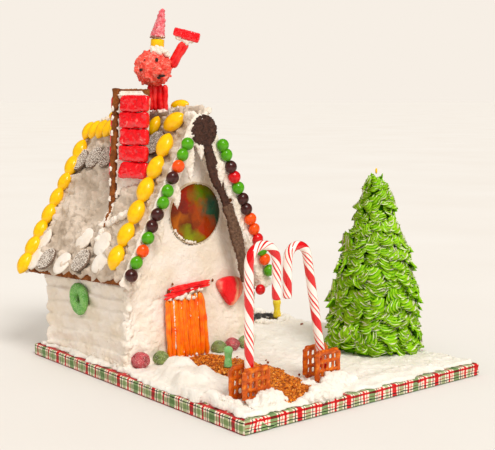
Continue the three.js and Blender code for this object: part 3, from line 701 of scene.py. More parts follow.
def crumb_sugar():
    """Coarse sugar crumbs, orange-brown, each a little different, with glassy faces."""
    material, tree, shader, place = surface(
        "toffee_crumbs", Roughness=0.38, IOR=1.5, Specular_IOR_Level=0.3, Coat_Weight=0.15
    )
    own = own_value(tree)
    colour(
        tree, shader,
        ramp(tree, own, [(0.0, "#8a3a04"), (0.4, "#cf660c"), (0.8, "#ef8c18"), (1.0, "#ffb450")])
    )
    bump(tree, shader, noise_map(tree, place, 0.9, 2), 0.2)
    return material


def foil():
    """Kitchen foil, crumpled and pressed flat again: bright metal broken into small facets."""
    material, tree, shader, place = surface("crumpled_foil", Roughness=0.32, Metallic=1.0)
    colour(tree, shader, ramp(tree, noise_map(tree, place, 8, 4), [(0.35, "#a29a94"), (0.65, "#d6cfc8")]))
    bump(tree, shader, cells(tree, place, 4.5), 1.6)
    return material


def sugar_beads():
    """Nonpareils: tiny opaque beads of white sugar, some greyer than others at random."""
    material, tree, shader, place = surface("white_sugar_beads", Roughness=0.5, IOR=1.5)
    own = own_value(tree)
    colour(tree, shader, ramp(tree, own, [(0.0, "#b9a898"), (0.25, "#e4d8cb"), (1.0, "#f6efe6")]))
    bump(tree, shader, noise_map(tree, place, 0.8, 2), 0.1)
    return material


def backdrop():
    """Painted paper sweep: flat cream with a barely visible tooth."""
    material, tree, shader, place = surface("studio_paper", Roughness=0.95, IOR=1.3, Specular_IOR_Level=0.1)
    colour(tree, shader, ramp(tree, noise_map(tree, place, 400, 2), [(0.3, "#dedbd7"), (0.7, "#e1dfdc")]))
    return material


ICING = buttercream("buttercream", "#f6ece1", "#eee0cd")
SNOW = buttercream("snow_buttercream", "#f6f1e9", "#eee7dc", 1.2)
GINGER = gingerbread()
GREEN_SHELL = sugar_shell("green_sugar_shell", "#55a808", "#3f8e04")
ORANGE_SHELL = sugar_shell("orange_sugar_shell", "#ff5a0c", "#ee4404")
BROWN_SHELL = sugar_shell("brown_sugar_shell", "#4a2220", "#32140f")
RED_SHELL = sugar_shell("red_sugar_shell", "#e01018", "#be0810")
YELLOW_SHELL = sugar_shell("yellow_sugar_shell", "#ffcc00", "#f9b800")
ORANGE_LICORICE = licorice("orange_licorice", "#ff7600", "#f85400", "#ff9c10")
RED_LICORICE = licorice("red_licorice", "#f01018", "#cc0810", "#ff4a40")
# Its palest colour, #ff7a74, is painted highlight streaks.
RED_JELLY_WITH_PAINTED_HIGHLIGHTS = jelly("red_fruit_jelly", "#fa101c", "#dc0610", "#ff7a74")
SUGARED_GREEN = sugared("sugared_green_jelly", "#80c25c", "#5aa63e", 0.42)
SPICE_GREEN = sugared("sugared_olive_jelly", "#8ca454", "#54682c", 0.46)
SPICE_RED = sugared("sugared_rose_jelly", "#c84450", "#8e2830", 0.46)
SOUR_GREEN = sugared("sour_green_jelly", "#8ed486", "#68c064", 0.3)
SOUR_YELLOW = sugared("sour_yellow_jelly", "#fae000", "#f2cc00", 0.3)
CHOCOLATE = chocolate("dark_chocolate", "#5a3424", "#2a150c", 1.2)
GRAINY_CHOCOLATE = chocolate("broken_chocolate", "#86644c", "#40251a", 0.9)
WAFER_BROWN = chocolate("chocolate_wafer", "#86705f", "#624a3b", 1.0)
# The roof's icing is the walls' icing painted darker and greyer: painted shade for the dimmer light on the
# slopes.
ROOF_ICING_PAINTED_SHADE = buttercream("cream_roof_icing", "#ddcdbc", "#c0ad99")
SUGAR_BEADS = sugar_beads()
CLEAR_SUGAR = sugar_shell("clear_boiled_sugar", "#d8c4a4", "#bfa684")
DARK_SUGAR = chocolate("dark_sugar_bits", "#3a2a22", "#1c120d", 0.9)
WHITE_WAFER = buttercream("white_candy_wafer", "#f6eee4", "#eee2d4", 3.0)
CANE = cane_stripes("peppermint_cane")
PRETZEL = pretzel_crust()
PIPED_GREEN_WITH_PAINTED_LIGHT = piped_green()
TOFFEE = crumb_sugar()
FOIL = foil()
RED_FROSTING = frosting("red_frosting", "#ff5a48", "#ea2e26", "#ffb0a0")
PINK_SUGAR = frosting("pink_sugar_cone", "#f28088", "#e23044", "#ffe0da")
WINDOW_SUGAR = stained_sugar()
WRAP = gift_paper()


# ---------- geometry node trees ----------
def node_group(name, inputs):
    """New geometry tree with named inputs; returns the tree, its input and its output node."""
    tree = bpy.data.node_groups.new(name, "GeometryNodeTree")
    tree.interface.new_socket("Geometry", in_out="INPUT", socket_type="NodeSocketGeometry")
    for label, kind, value in inputs:
        socket = tree.interface.new_socket(label, in_out="INPUT", socket_type="NodeSocket" + kind)
        if value is not None:
            socket.default_value = value
    tree.interface.new_socket("Geometry", in_out="OUTPUT", socket_type="NodeSocketGeometry")
    return tree, add(tree, "NodeGroupInput"), add(tree, "NodeGroupOutput")


def end_tree(tree, outputs, instances, source):
    """Makes the copies real and gives them their material."""
    real = add(tree, "GeometryNodeRealizeInstances", {"Geometry": instances}).outputs[0]
    painted = add(tree, "GeometryNodeSetMaterial", {"Geometry": real, "Material": source.outputs["Material"]})
    tree.links.new(painted.outputs[0], outputs.inputs[0])


def named(tree, label, kind="FLOAT_VECTOR"):
    made = add(tree, "GeometryNodeInputNamedAttribute", data_type=kind)
    made.inputs["Name"].default_value = label
    return made.outputs["Attribute"]


def placing_tree():
    """A sweet at every guide point, turned and sized by what the point carries."""
    tree, start, end = node_group(
        "place_sweets", [("Sweet", "Object", None), ("Size", "Float", 1.0), ("Material", "Material", None)]
    )
    shape = add(tree, "GeometryNodeObjectInfo", {"Object": start.outputs["Sweet"]}).outputs["Geometry"]
    turn = add(tree, "FunctionNodeEulerToRotation", {0: named(tree, "turn")}).outputs[0]
    size = add(
        tree, "ShaderNodeVectorMath", {0: named(tree, "grow"), "Scale": start.outputs["Size"]},
        operation="SCALE"
    )
    links = {"Points": start.outputs["Geometry"], "Instance": shape, "Rotation": turn, "Scale": size.outputs[0]}
    end_tree(tree, end, add(tree, "GeometryNodeInstanceOnPoints", links).outputs[0], start)
    return tree


CROWD = 4e6  # tries to a square metre, before the spacing thins them out
FULL_TURN = 6.283


def scatter_tree():
    """Grains strewn over a surface, at least a spacing apart, each turned, sized and tinted."""
    inputs = [
        ("Grain", "Object", None), ("Spacing", "Float", 1.0), ("Smallest", "Float", 0.7),
        ("Largest", "Float", 1.3), ("Seed", "Int", 1), ("Material", "Material", None)
    ]
    tree, start, end = node_group("strew_grains", inputs)
    links = {
        "Mesh": start.outputs["Geometry"], "Distance Min": start.outputs["Spacing"],
        "Density Max": CROWD, "Seed": start.outputs["Seed"]
    }
    spots = add(tree, "GeometryNodeDistributePointsOnFaces", links, distribute_method="POISSON")
    shape = add(tree, "GeometryNodeObjectInfo", {"Object": start.outputs["Grain"]}).outputs["Geometry"]
    turns = add(
        tree, "FunctionNodeRandomValue", {1: 3 * (FULL_TURN,), "Seed": start.outputs["Seed"]},
        data_type="FLOAT_VECTOR"
    )
    turn = add(tree, "FunctionNodeEulerToRotation", {0: turns.outputs[0]}).outputs[0]
    sizes = {2: start.outputs["Smallest"], 3: start.outputs["Largest"], "Seed": start.outputs["Seed"]}
    size = add(tree, "FunctionNodeRandomValue", sizes, data_type="FLOAT").outputs[1]
    links = {"Points": spots.outputs[0], "Instance": shape, "Rotation": turn, "Scale": size}
    copies = add(tree, "GeometryNodeInstanceOnPoints", links).outputs[0]
    tint = add(tree, "FunctionNodeRandomValue", {"Seed": 7}, data_type="FLOAT").outputs[1]
    links = {"Geometry": copies, "Name": "crest", "Value": tint}
    kept = add(tree, "GeometryNodeStoreNamedAttribute", links, data_type="FLOAT", domain="INSTANCE").outputs[0]
    end_tree(tree, end, kept, start)
    return tree


PLACE = placing_tree()
STREW = scatter_tree()


def run_tree(name, tree, guide, **inputs):
    """Plain mesh made by a tree on a guide mesh; inputs are set by their sockets' identifiers."""
    carrier = bpy.data.objects.new(name + "_guide", guide)
    scene.collection.objects.link(carrier)
    modifier = carrier.modifiers.new("tree", "NODES")
    modifier.node_group = tree
    for item in tree.interface.items_tree:
        if item.in_out == "INPUT" and item.name in inputs:
            modifier[item.identifier] = inputs[item.name]
    made = evaluated(carrier)
    bpy.data.objects.remove(carrier)
    return made


def template(name, points, faces, crest=None):
    """Object outside the scene's view that a tree copies."""
    mesh = to_mesh(name, points, faces, crest)
    mesh.shade_smooth()
    obj = bpy.data.objects.new(name, mesh)
    scene.collection.objects.link(obj)
    TEMPLATES.append(obj)
    return obj


TEMPLATES = []


def guides(name, spots):
    """Guide points in millimetres: (place, axes as rows, size in millimetres along each)."""
    mesh = bpy.data.meshes.new(name)
    mesh.from_pydata([tuple(Vector(p) * MM) for p, _, _ in spots], [], [])
    turns = [Matrix([tuple(a) for a in axes]).transposed().to_euler() for _, axes, _ in spots]
    mesh.attributes.new("turn", "FLOAT_VECTOR", "POINT").data.foreach_set(
        "vector", np.ravel([tuple(t) for t in turns])
    )
    sizes = np.array([np.broadcast_to(s, 3) for _, _, s in spots], float)
    mesh.attributes.new("grow", "FLOAT_VECTOR", "POINT").data.foreach_set("vector", sizes.ravel())
    return mesh


def placed(name, spots, shape, material, nodes=()):
    """One piece with a copy of a unit shape at each spot."""
    mesh = run_tree(name, PLACE, guides(name, spots), Sweet=shape, Size=1.0, Material=material)
    return piece(name, mesh, material, nodes)


# ---------- board ----------
def board():
    """Wrapped board: soft folded edges, a flap folded over near the left front corner."""
    low, high = BOARD_LOW, BOARD_HIGH
    half = (high - low)[:2] / 2
    thick = high[2]
    # Ring profile: (inset from the side, height, distance along the paper from the top edge).
    bend = 1.8
    profile = [(1.2, 0.0, thick + 1.2), (0.15, 0.5, thick), (0.0, 2.0, thick - 1.5), (0.0, 4.4, thick - 4)]
    profile += [
        (0.0, 7.0, thick - 6.6), (0.0, 9.4, thick - 9), (0.0, thick - bend, 1.4), (0.5, thick - 0.5, 0.5)
    ]
    profile += [(bend, thick, -0.8), (6.0, thick, -5.4), (12.0, thick, -11.4), (22.0, thick, -21.4)]
    radius, step = 3.0, 2.5
    outline = []  # (x, y, side number, outward x, outward y), with a corner arc between sides
    for side, (nx, ny) in enumerate(((0, -1), (1, 0), (0, 1), (-1, 0))):
        tx, ty = -ny, nx
        reach = half[0] if nx else half[1]
        width = (half[1] if nx else half[0]) - radius
        for s in np.arange(-width, width + 0.01, 2 * width / round(2 * width / step)):
            outline.append((nx * reach + tx * s, ny * reach + ty * s, side, nx, ny))
        for k in (1, 2):
            a = math.atan2(ny, nx) + k * math.pi / 6
            cx, cy = nx * (reach - radius) + tx * width, ny * (reach - radius) + ty * width
            flank = side if k == 1 else (side + 1) % 4
            outline.append(
                (cx + radius * math.cos(a), cy + radius * math.sin(a), flank, math.cos(a), math.sin(a))
            )
    centre = (low + high)[:2] / 2
    count, points = len(outline), []
    for inset, z, _ in profile:
        for x, y, _, nx, ny in outline:
            points.append((centre[0] + x - nx * inset, centre[1] + y - ny * inset, z))
    points = np.array(points)
    wrinkle = grain(points * np.array((1, 1, 2.5)), 16, 3, 5) * 0.55
    from_corner = np.sum(((points[:, :2] - (half[0], -half[1])) / 22) ** 2, 1)
    crumple = np.exp(-from_corner) * grain(points, 5, 3, 8) * 1.6
    normals = np.tile([(nx, ny) for _, _, _, nx, ny in outline], (len(profile), 1))
    rises = np.repeat([1.0 if 0.5 < z < thick - 0.4 else 0.25 for _, z, _ in profile], count)
    flap = (points[:, 1] < -half[1] + 1.5) & (points[:, 0] < flap_edge(points[:, 2]))
    push = (wrinkle + crumple - 0.35) * rises + flap * 0.7
    points[:, :2] += normals * push[:, None]
    on_top = np.repeat([0.0 if z < thick - 0.6 else 1.0 for _, z, _ in profile], count)
    points[:, 2] += on_top * (wrinkle * 0.8 - 0.25)
    faces = band_faces(len(profile) - 1, count)
    flats = []
    for face in faces:
        side = outline[face[0] % count][2]
        flats.append([paper_point(points[j], profile[j // count][2], side, half) for j in face])
    for ring, order in ((0, -1), (len(profile) - 1, 1)):
        face = tuple(range(ring * count, ring * count + count))[::order]
        faces.append(face)
        flats.append([(points[j][0], points[j][1]) for j in face])
    mesh = bpy.data.meshes.new("wrapped_board")
    mesh.from_pydata((points * MM).tolist(), [], faces)
    mapping = mesh.uv_layers.new(name="wrap")
    mapping.data.foreach_set("uv", np.ravel([uv for flat in flats for uv in flat]))
    piece("wrapped_board", mesh, WRAP, ["board"])


def flap_edge(z):
    """Where the folded flap ends on the front face, further right lower down."""
    return BOARD_LOW[0] + 17 + (BOARD_HIGH[2] - z) * 1.1


def paper_point(point, down, side, half):
    """Flat place of a point on the paper, which folds down over the board's four edges."""
    x, y = point[0], point[1]
    if side == 0:
        if x < flap_edge(point[2]) and down > -1:
            return (x + 0.25 * down + 9, -half[1] - down)
        return (x, -half[1] - down)
    if side == 2:
        return (x, half[1] + down)
    return ((half[0] + down) * (1 if side == 1 else -1), y)


# ---------- snow ----------
SNOW_CELL = 1.75
# Heaps of icing on the board: (x, y, reach across, reach along, height).
HEAPS = [
    (-126, -58, 26, 44, 11.5),
    (-146, -104, 15, 40, 7.5),
    (-120, -100, 18, 36, 7.5),
    (-112, -30, 15, 26, 7),
    (-152, -150, 12, 30, 3),
    (-108, -172, 14, 12, 3),
    (-70, -181, 22, 8, 3.5),
    (60, -172, 60, 14, 2.5),
    (60, 100, 26, 60, 3),
    (40, -60, 30, 50, 1.5),
    (150, 20, 10, 40, 3),
]


def snow_height(points):
    """Level of the snow over the board at points whose x and y are in millimetres."""
    x, y = points[..., 0], points[..., 1]
    level = np.full(x.shape, FLOOR - 0.4)
    swell = grain(points, 34, 3, 11)
    for cx, cy, rx, ry, up in HEAPS:
        reach = ((x - cx) / rx) ** 2 + ((y - cy) / ry) ** 2 + 0.35 * swell
        level += up * smoothstep(1.15 - reach)
    # Icing pushed up against the walls.
    dx = np.maximum(np.maximum(WALL_LOW[0] - x, x - WALL_HIGH[0]), 0)
    dy = np.maximum(np.maximum(WALL_LOW[1] - y, y - HOUSE_BACK), 0)
    beside = np.hypot(dx, dy)
    patchy = 0.5 + 0.8 * np.clip(grain(points, 12, 2, 3), -0.5, 1)
    level += 3.0 * np.exp(-((beside / 4.5) ** 2)) * (beside > 0) * patchy
    path = inside_path(x, y)
    rough = 1.5 * swell + 1.3 * spread(points, 15, 4) + 0.35 * grain(points, 3.5, 2, 9)
    return level + rough * (1 - 0.8 * path) - 1.2 * path


def path_edges():
    """Left and right edge of the crumb path from front to back, taken from its node."""
    points = vertices("crumb_path")
    rows = {}
    for p in points:
        rows.setdefault(round(p[1], 1), []).append(p[0])
    table = sorted((y, min(xs), max(xs)) for y, xs in rows.items() if max(xs) - min(xs) > 5)
    return np.array(table)


PATH = path_edges()


def inside_path(x, y):
    """1 inside the crumb path, falling to 0 outside it."""
    left, right = np.interp(y, PATH[:, 0], PATH[:, 1]), np.interp(y, PATH[:, 0], PATH[:, 2])
    inside = np.minimum(np.minimum(x - left, right - x), np.minimum(y - PATH[0, 0], PATH[-1, 0] - y))
    return smoothstep(inside / 6 + 0.5)


def snow():
    """Spread snow with a ragged edge that leaves a little paper showing."""
    cell = SNOW_CELL
    size = BOARD_HIGH - BOARD_LOW
    nu, nv = int(size[0] / cell), int(size[1] / cell)
    u, v = grid(nu, nv)
    flat = np.stack([BOARD_LOW[0] + u * size[0], BOARD_LOW[1] + v * size[1], 0 * u], -1)
    ragged = grain(flat, 19, 4, 2)
    # Bare paper at the left, right, front and back.
    margins = [5.5 + 6 * ragged, 6.0 + 5 * ragged, 5.5 + 7 * ragged, 8.0 + 6 * ragged]
    # The heap by the left edge spills to the very edge of the board.
    margins[0] -= 6.5 * np.exp(-(((flat[..., 1] + 75) / 38) ** 2))
    margins = [np.clip(m, 1.0, 13) for m in margins]
    left, right = BOARD_LOW[0] + margins[0], BOARD_HIGH[0] - margins[1]
    front, back = BOARD_LOW[1] + margins[2], BOARD_HIGH[1] - margins[3]
    x, y = left + (right - left) * u, front + (back - front) * v
    spots = np.stack([x, y, 0 * x], -1)
    edge = np.minimum(np.minimum(u, 1 - u) * nu, np.minimum(v, 1 - v) * nv) * cell
    lip = np.sqrt(np.clip(1 - (1 - np.clip(edge / 3.5, 0, 1)) ** 2, 0, 1))
    base = BOARD_HIGH[2] + 0.1
    level = base + 0.3 + (snow_height(spots) - base - 0.3) * (0.12 + 0.88 * lip)
    under = np.stack([x, y, 0 * x + base], -1)
    points, faces, _ = shell(np.stack([x, y, level], -1), under)
    piece("snow", to_mesh("snow", points, faces), SNOW, ["snow"])


def crumb(name, size, long=1.0):
    """Small broken lump of twelve faces."""
    rng = random.Random(5)
    points = []
    for sx in (-1, 1):
        for sy in (-1, 1):
            for sz in (-1, 1):
                points.append([s * size / 2 * rng.uniform(0.6, 1.1) for s in (sx * long, sy, sz)])
    faces = [(0, 1, 3, 2), (4, 6, 7, 5), (0, 4, 5, 1), (2, 3, 7, 6), (0, 2, 6, 4), (1, 5, 7, 3)]
    return template(name, points, faces)


def crumb_path():
    """Path of toffee crumbs: a rough bed with thousands of crumbs strewn over it."""
    u, v = grid(26, 84)
    y = PATH[0, 0] + (PATH[-1, 0] - PATH[0, 0]) * v
    left, right = np.interp(y, PATH[:, 0], PATH[:, 1]), np.interp(y, PATH[:, 0], PATH[:, 2])
    x = left + (right - left) * u
    wobble = grain(np.stack([x, y, 0 * x], -1), 11, 3, 21)
    x = x + wobble * 3.5 * np.abs(2 * u - 1)
    edge = np.minimum(np.minimum(u, 1 - u) * 50, np.minimum(v, 1 - v) * 180)
    bed = FLOOR - 0.6 + 2.2 * smoothstep(edge / 5) + 0.8 * wobble
    top = np.stack([x, y, bed], -1)
    points, faces, _ = shell(top, np.stack([x, y, 0 * x + FLOOR - 1.5], -1))
    bed_mesh = to_mesh("crumb_bed", points, faces)
    surface_mesh = to_mesh("crumb_surface", top.reshape(-1, 3), shell(top, top)[1][: 26 * 84])
    lump = crumb("toffee_crumb", 1.9, 1.5)
    inputs = {
        "Grain": lump, "Spacing": 1.05 * MM, "Smallest": 0.6, "Largest": 1.35, "Seed": 4, "Material": TOFFEE
    }
    piece("path_bed", bed_mesh, TOFFEE, ["crumb_path"])
    piece("path_crumbs", run_tree("path_crumbs", STREW, surface_mesh, **inputs), TOFFEE, smooth=False)


# ---------- walls ----------
def roof_line(x, y):
    """Height of the underside of the roof over points of an end wall."""
    depth = ROOF_DEPTH + 0.4
    return np.minimum(LEFT.height(x, y, depth), RIGHT.height(x, y, depth))


def knife_bands(along, level, seed):
    """Broad level strokes with a ridge where one overlaps the next; 0 to 1."""
    spots = np.stack([along, level, 0 * along], -1)
    sway = 5 * grain(spots * np.array((0.35, 1, 1)), 45, 2, seed)
    phase = (level + sway + 0.06 * along) / 15.5
    saw = phase - np.floor(phase)
    return smoothstep(saw / 0.8) * (1 - smoothstep((saw - 0.86) / 0.14))


def iced_end(name, node, face_y, back_y, seed, hole=None):
    """End wall's icing over its gable, with a round hole where the window sits."""
    low, high = box(node)
    cell = 1.35
    nu, nv = int((high - low)[0] / cell), int((high - low)[2] / cell)
    u, v = grid(nu, nv)
    x = low[0] + (high - low)[0] * u
    out = np.sign(face_y - back_y)
    z = low[2] + (roof_line(x, np.full(x.shape, face_y)) - low[2]) * v
    spots = np.stack([x, 0 * x, z], -1)
    busy = smoothstep((np.abs(x - (low + high)[0] / 2 - 4) - 22) / 40)
    strokes = dabs(x, z, 30, seed, -80, 60) * (0.35 + 0.65 * busy)
    relief = 3.0 * strokes + 0.9 * grain(spots, 40, 2, seed + 1)
    relief += (0.2 + 0.4 * busy) * grain(spots, 7, 3, seed + 2)
    relief += 1.5 * busy * dabs(x, z, 11, seed + 3, -80, 100)
    # Thicker where it was pushed into the corners and down to the board.
    from_corner = np.minimum(x - low[0], high[0] - x)
    relief += 2.2 * np.exp(-(((z - low[2]) / 5) ** 2)) + 1.4 * np.exp(-((from_corner / 4) ** 2))
    top = np.stack([x, face_y + out * (relief - 0.6), z], -1)
    under = np.stack([x, 0 * x + back_y, z], -1)
    keep = None
    if hole is not None:
        mid = (spots[:-1, :-1] + spots[1:, 1:]) / 2
        ragged = 1.4 * grain(mid, 9, 3, 4)
        keep = np.hypot(mid[..., 0] - hole[0], mid[..., 2] - hole[2]) > WINDOW_RADIUS + 0.1 + 0.5 * ragged
    points, faces, _ = shell(top, under, keep)
    piece(name, to_mesh(name, points, faces), ICING, [node])


def iced_side(name, node, slope, seed):
    """Side wall's icing, laid on in long level strokes."""
    low, high = box(node)
    out = slope.sign
    face_x, back_x = (low[0], high[0]) if out < 0 else (high[0], low[0])
    y0, y1 = WALL_LOW[1] - 0.5, HOUSE_BACK + 0.5
    cell = 1.25
    nu, nv = int((y1 - y0) / cell), int((high - low)[2] / cell) + 6
    u, v = grid(nu, nv)
    y = y0 + (y1 - y0) * u
    z = low[2] + (slope.height(0 * y + face_x, y, ROOF_DEPTH + 0.4) - low[2]) * v
    spots = np.stack([0 * y + seed, y, z], -1)
    relief = 2.8 * knife_bands(y, z, seed) + 2.2 * dabs(y, z, 22, seed + 1, 10, 50)
    relief += 1.4 * dabs(y, z, 9, seed + 3, 10, 100)
    relief += 1.2 * grain(spots * np.array((1, 0.5, 1)), 20, 3, seed + 2) + 0.4 * grain(spots, 4.5, 3, seed + 5)
    relief += 2.4 * np.exp(-(((z - low[2]) / 5) ** 2))
    # Scalloped bead down the back and front corners.
    scallops = 0.6 + 0.8 * np.abs(np.sin(z / 5.2 + 0.6 * np.sin(z / 9)))
    for end, depth in ((y1, 4.2), (y0, 1.4)):
        relief += depth * np.exp(-(((y - end) / 6) ** 2)) * scallops
    top = np.stack([face_x + out * (relief - 0.8), y, z], -1)
    under = np.stack([0 * y + back_x, y, z], -1)
    points, faces, _ = shell(top, under)
    piece(name, to_mesh(name, points, faces), ICING, [node])


def walls():
    iced_end("gable_icing_front", "icing_front", WALL_LOW[1] + 0.3, WALL_HIGH[1], 31, WINDOW)
    iced_end("gable_icing_back", "icing_back", HOUSE_BACK - 0.3, box("icing_back")[0][1], 37)
    iced_side("wall_icing_left", "icing_left", LEFT, 41)
    iced_side("wall_icing_right", "icing_right", RIGHT, 47)


# ---------- roof ----------
ROOF_RISE, ROOF_RUN = 210, 206  # up a slope and from front to back


def iced_roof(name, node, slope, seed):
    """Roof icing, put on thick and pulled up in crests; its eave edge is torn in tongues."""
    nu, nv = 188, 184
    u, v = grid(nu, nv)
    flat = np.stack([u * ROOF_RISE, v * ROOF_RUN, 0 * u], -1)
    # The lower edge creeps up between tongues of icing.
    reach = grain(np.stack([v * ROOF_RUN, 0 * v, 0 * v], -1), 13, 3, seed)
    tongue = np.clip(0.012 + 0.03 * reach, -0.012, 0.05)
    notch = sum(depth * np.exp(-(((v - at) / wide) ** 2)) for at, wide, depth in EAVE_NOTCHES)
    start = tongue + notch * (0.7 + 0.6 * reach)
    rise = start + (1.0 - start) * u
    side = np.minimum(v, 1 - v) * ROOF_RUN
    lip = np.sqrt(np.clip(1 - (1 - np.clip(np.minimum(u * ROOF_RISE, side) / 4, 0, 1)) ** 2, 0, 1))
    crests = dabs(flat[..., 0], flat[..., 1], 20, seed + 1, 60, 110)
    fine = dabs(flat[..., 0], flat[..., 1], 8, seed + 4, 60, 150)
    relief = 9.5 * crests + 3.4 * fine + 1.8 * grain(flat, 33, 3, seed + 2) + 0.35 * grain(flat, 3.5, 2, seed)
    relief = np.clip(relief - 5.6, -3.0, 6.0)
    thick = 4.0
    lift = -thick + (thick + relief) * (0.15 + 0.85 * lip)
    top = slope.at(rise, v, lift)
    under = slope.at(rise, v, -thick - 0.1)
    # The front edge bulges a little past the slab.
    top[..., 1] -= 1.2 * np.exp(-((v * ROOF_RUN / 5) ** 2)) * (1 + grain(flat, 9, 2, 8))
    points, faces, _ = shell(top, under)
    # The roof icing's darker colour is painted shade.
    piece(name, to_mesh(name, points, faces), ROOF_ICING_PAINTED_SHADE, [node])


# Where gingerbread shows under the torn eave: place along the eave, width and depth.
EAVE_NOTCHES = [
    (0.02, 0.03, 0.028), (0.12, 0.035, 0.026), (0.36, 0.05, 0.014), (0.62, 0.02, 0.03), (0.8, 0.05, 0.016),
    (0.93, 0.03, 0.02)
]


def baked(name, nodes, voxel, rough, seed):
    """Gingerbread slabs with worn edges and a baked surface, each in its CAD slab's place."""
    for node in nodes:
        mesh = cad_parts[node].data.copy()
        merged = bmesh.new()
        merged.from_mesh(mesh)
        bmesh.ops.remove_doubles(merged, verts=merged.verts, dist=1e-6)
        merged.to_mesh(mesh)
        merged.free()
        made = skinned(mesh, voxel, 2)
        roughen(made, rough, 5, seed, torn=False)
        piece(f"{name}_{node}", made, GINGER, [node])


def roofs():
    iced_roof("roof_icing_left", "icing_roof_left", LEFT, 51)
    iced_roof("roof_icing_right", "icing_roof_right", RIGHT, 57)
    baked("baked", ["roof_left", "roof_right"], 1.9, 0.7, 3)
    baked("baked", ["wall_front", "wall_back", "wall_left", "wall_right"], 2.6, 0.5, 4)


def distances(path):
    """How far along a path each of its points is."""
    return np.concatenate([[0], np.cumsum(np.linalg.norm(np.diff(path, axis=0), axis=1))])


def evenly(path, count):
    """Distances along a path and its points there, at equal steps."""
    lengths = distances(path)
    s = np.linspace(0, lengths[-1], count)
    return s, np.stack([np.interp(s, lengths, path[:, k]) for k in range(3)], -1)


def blob(rng, place, size, spread_out=0.3):
    """Lump of icing for fusing: an ellipsoid a little out of round."""
    scale = [size * rng.uniform(1 - spread_out, 1 + spread_out) for _ in range(3)]
    return ball(place, scale, rings=8, around=12)


def bead(rng, path, size, step=0.45, wander=0.25):
    """Lumps along a path that fuse to a piped, knocked-about bead."""
    path = np.asarray(path, float)
    lengths = distances(path)
    parts = []
    for s in np.arange(0, lengths[-1] + 0.01, size * step):
        spot = [np.interp(s, lengths, path[:, k]) + rng.uniform(-wander, wander) * size for k in range(3)]
        parts.append(blob(rng, spot, size))
    return parts


def rake_icing():
    """Icing over the front and back edges of the roof, with drips between the sweets."""
    rng = random.Random(12)
    for end, v, out in (("front", 0.0, -1), ("back", 1.0, 1)):
        parts = []
        for slope in (LEFT, RIGHT):
            for s in np.arange(0.0, 1.001, 0.017):
                for depth in (1.0, -3.5, -8.0):
                    spot = slope.at(s, v, depth) + np.array((0, out * (0.3 + rng.uniform(-0.8, 0.6)), 0))
                    if depth == -8.0 and rng.random() < 0.28:
                        continue
                    spot[2] -= 11 * float(smoothstep((s - 0.9) / 0.1))
                    parts.append(ball(spot, (7.5, 4.2 + 1.4 * rng.random(), 8), rings=8, around=10))
        for slope in (LEFT, RIGHT):
            for s in np.arange(0.02, 0.985, 0.02):
                for k in range(3):
                    reach = 4.5 + 5.0 * k
                    under = slope.at(s, v + (reach / ROOF_RUN) * (1 if v == 0 else -1), -11.2)
                    parts.append(ball(under, (7.0, 7.5, 6.0), rings=6, around=10))
        if end == "front":
            for place, size, drop in DRIPS:
                for k in range(7):
                    t = k / 6
                    width = size * (1 - 0.75 * t * t)
                    spot = (place[0] + 1.5 * t, place[1], place[2] - drop * t)
                    parts.append(ball(spot, (width, 5.0 * (1 - 0.4 * t), size * 0.8), rings=8, around=10))
        mesh = fused("rake_icing_" + end, parts, 1.1, 1.3, 6, 5)
        piece("rake_icing_" + end, mesh, ICING)


# Drips hanging from the rake in front of the gable: place, width and drop.
DRIPS = [
    ((-80, -1.5, 238), 15, 27),
    ((-97, -1.0, 199), 12, 16),
    ((-118, -1.0, 166), 12, 16),
    ((-41, -3.5, 224), 14, 19),
    ((-18, -3.5, 182), 13, 27),
    ((1, -3.0, 146), 11, 16),
    ((-146, -1.0, 116), 11, 12),
    ((-66, -1.5, 246), 12, 12),
]


def ridge_and_joints():
    """Thick icing along the ridge, under the eaves' ends and where walls meet the snow."""
    rng = random.Random(23)
    ridge = [LEFT.at(1.0, v, -3.0 - 11.0 * math.exp(-((v / 0.13) ** 2))) for v in np.linspace(0.02, 0.98, 30)]
    parts = bead(rng, ridge, 9, 0.5, 0.22)
    piece("ridge_icing", fused("ridge_icing", parts, 1.3, 2.0, 8, 6), ICING)
    x0, x1, y0, y1 = WALL_LOW[0], WALL_HIGH[0], WALL_LOW[1], HOUSE_BACK
    z = FLOOR + 1
    foot = []
    for a, b in (
        ((x0, y0), (DOOR_LOW[0] - 3, y0)), ((DOOR_HIGH[0] + 3, y0), (x1, y0)), ((x1, y0), (x1, y1)),
        ((x1, y1), (x0, y1)), ((x0, y1), (x0, y0))
    ):
        foot += bead(rng, [(*a, z), (*b, z)], 5.5, 0.6, 0.3)
    for x, y, wide in ((x0, y0, 9.0), (x1, y0, 6.0), (x1, y1, 6.0), (x0, y1, 7.0)):
        top = roof_line(np.array([float(x)]), np.array([float(y)]))[0] - 3
        corner = (x + (1.5 if x == x0 else -1.5), y + (1.5 if y == y0 else -1.5))
        foot += bead(rng, [(*corner, z), (*corner, top)], wide, 0.45, 0.28)
    piece("joint_icing", fused("joint_icing", foot, 1.1, 1.6, 6, 7), ICING)


# ---------- sweets on the house ----------
def lemon(t):
    """Half width of an almond sweet along its length: plump, with a small point at each end."""
    return (1 - abs(t) ** 2.3) ** 0.78


ALMOND = template("almond_sweet", *ball((0, 0, 0), (1, 1, 1), rings=16, around=20, profile=lemon))
SHELL = template("round_sweet", *ball((0, 0, 0), (1, 1, 1), rings=14, around=20))


def row_spots(slope, spots, size, seed=1):
    """Guide places for almonds on a slope: (u, v, turn in degrees from up the slope)."""
    rng = random.Random(seed)
    made = []
    for u, v, turn in spots:
        up, out, back = slope.frame(u, v)
        turn = math.radians(turn + rng.uniform(-7, 7))
        long = up * math.cos(turn) + back * math.sin(turn)
        wide = out.cross(long)
        grow = np.array(size) * rng.uniform(0.95, 1.05)
        made.append((slope.at(u, v, size[1] * 0.34 + rng.uniform(-0.4, 0.6)), (wide, out, long), grow))
    return made


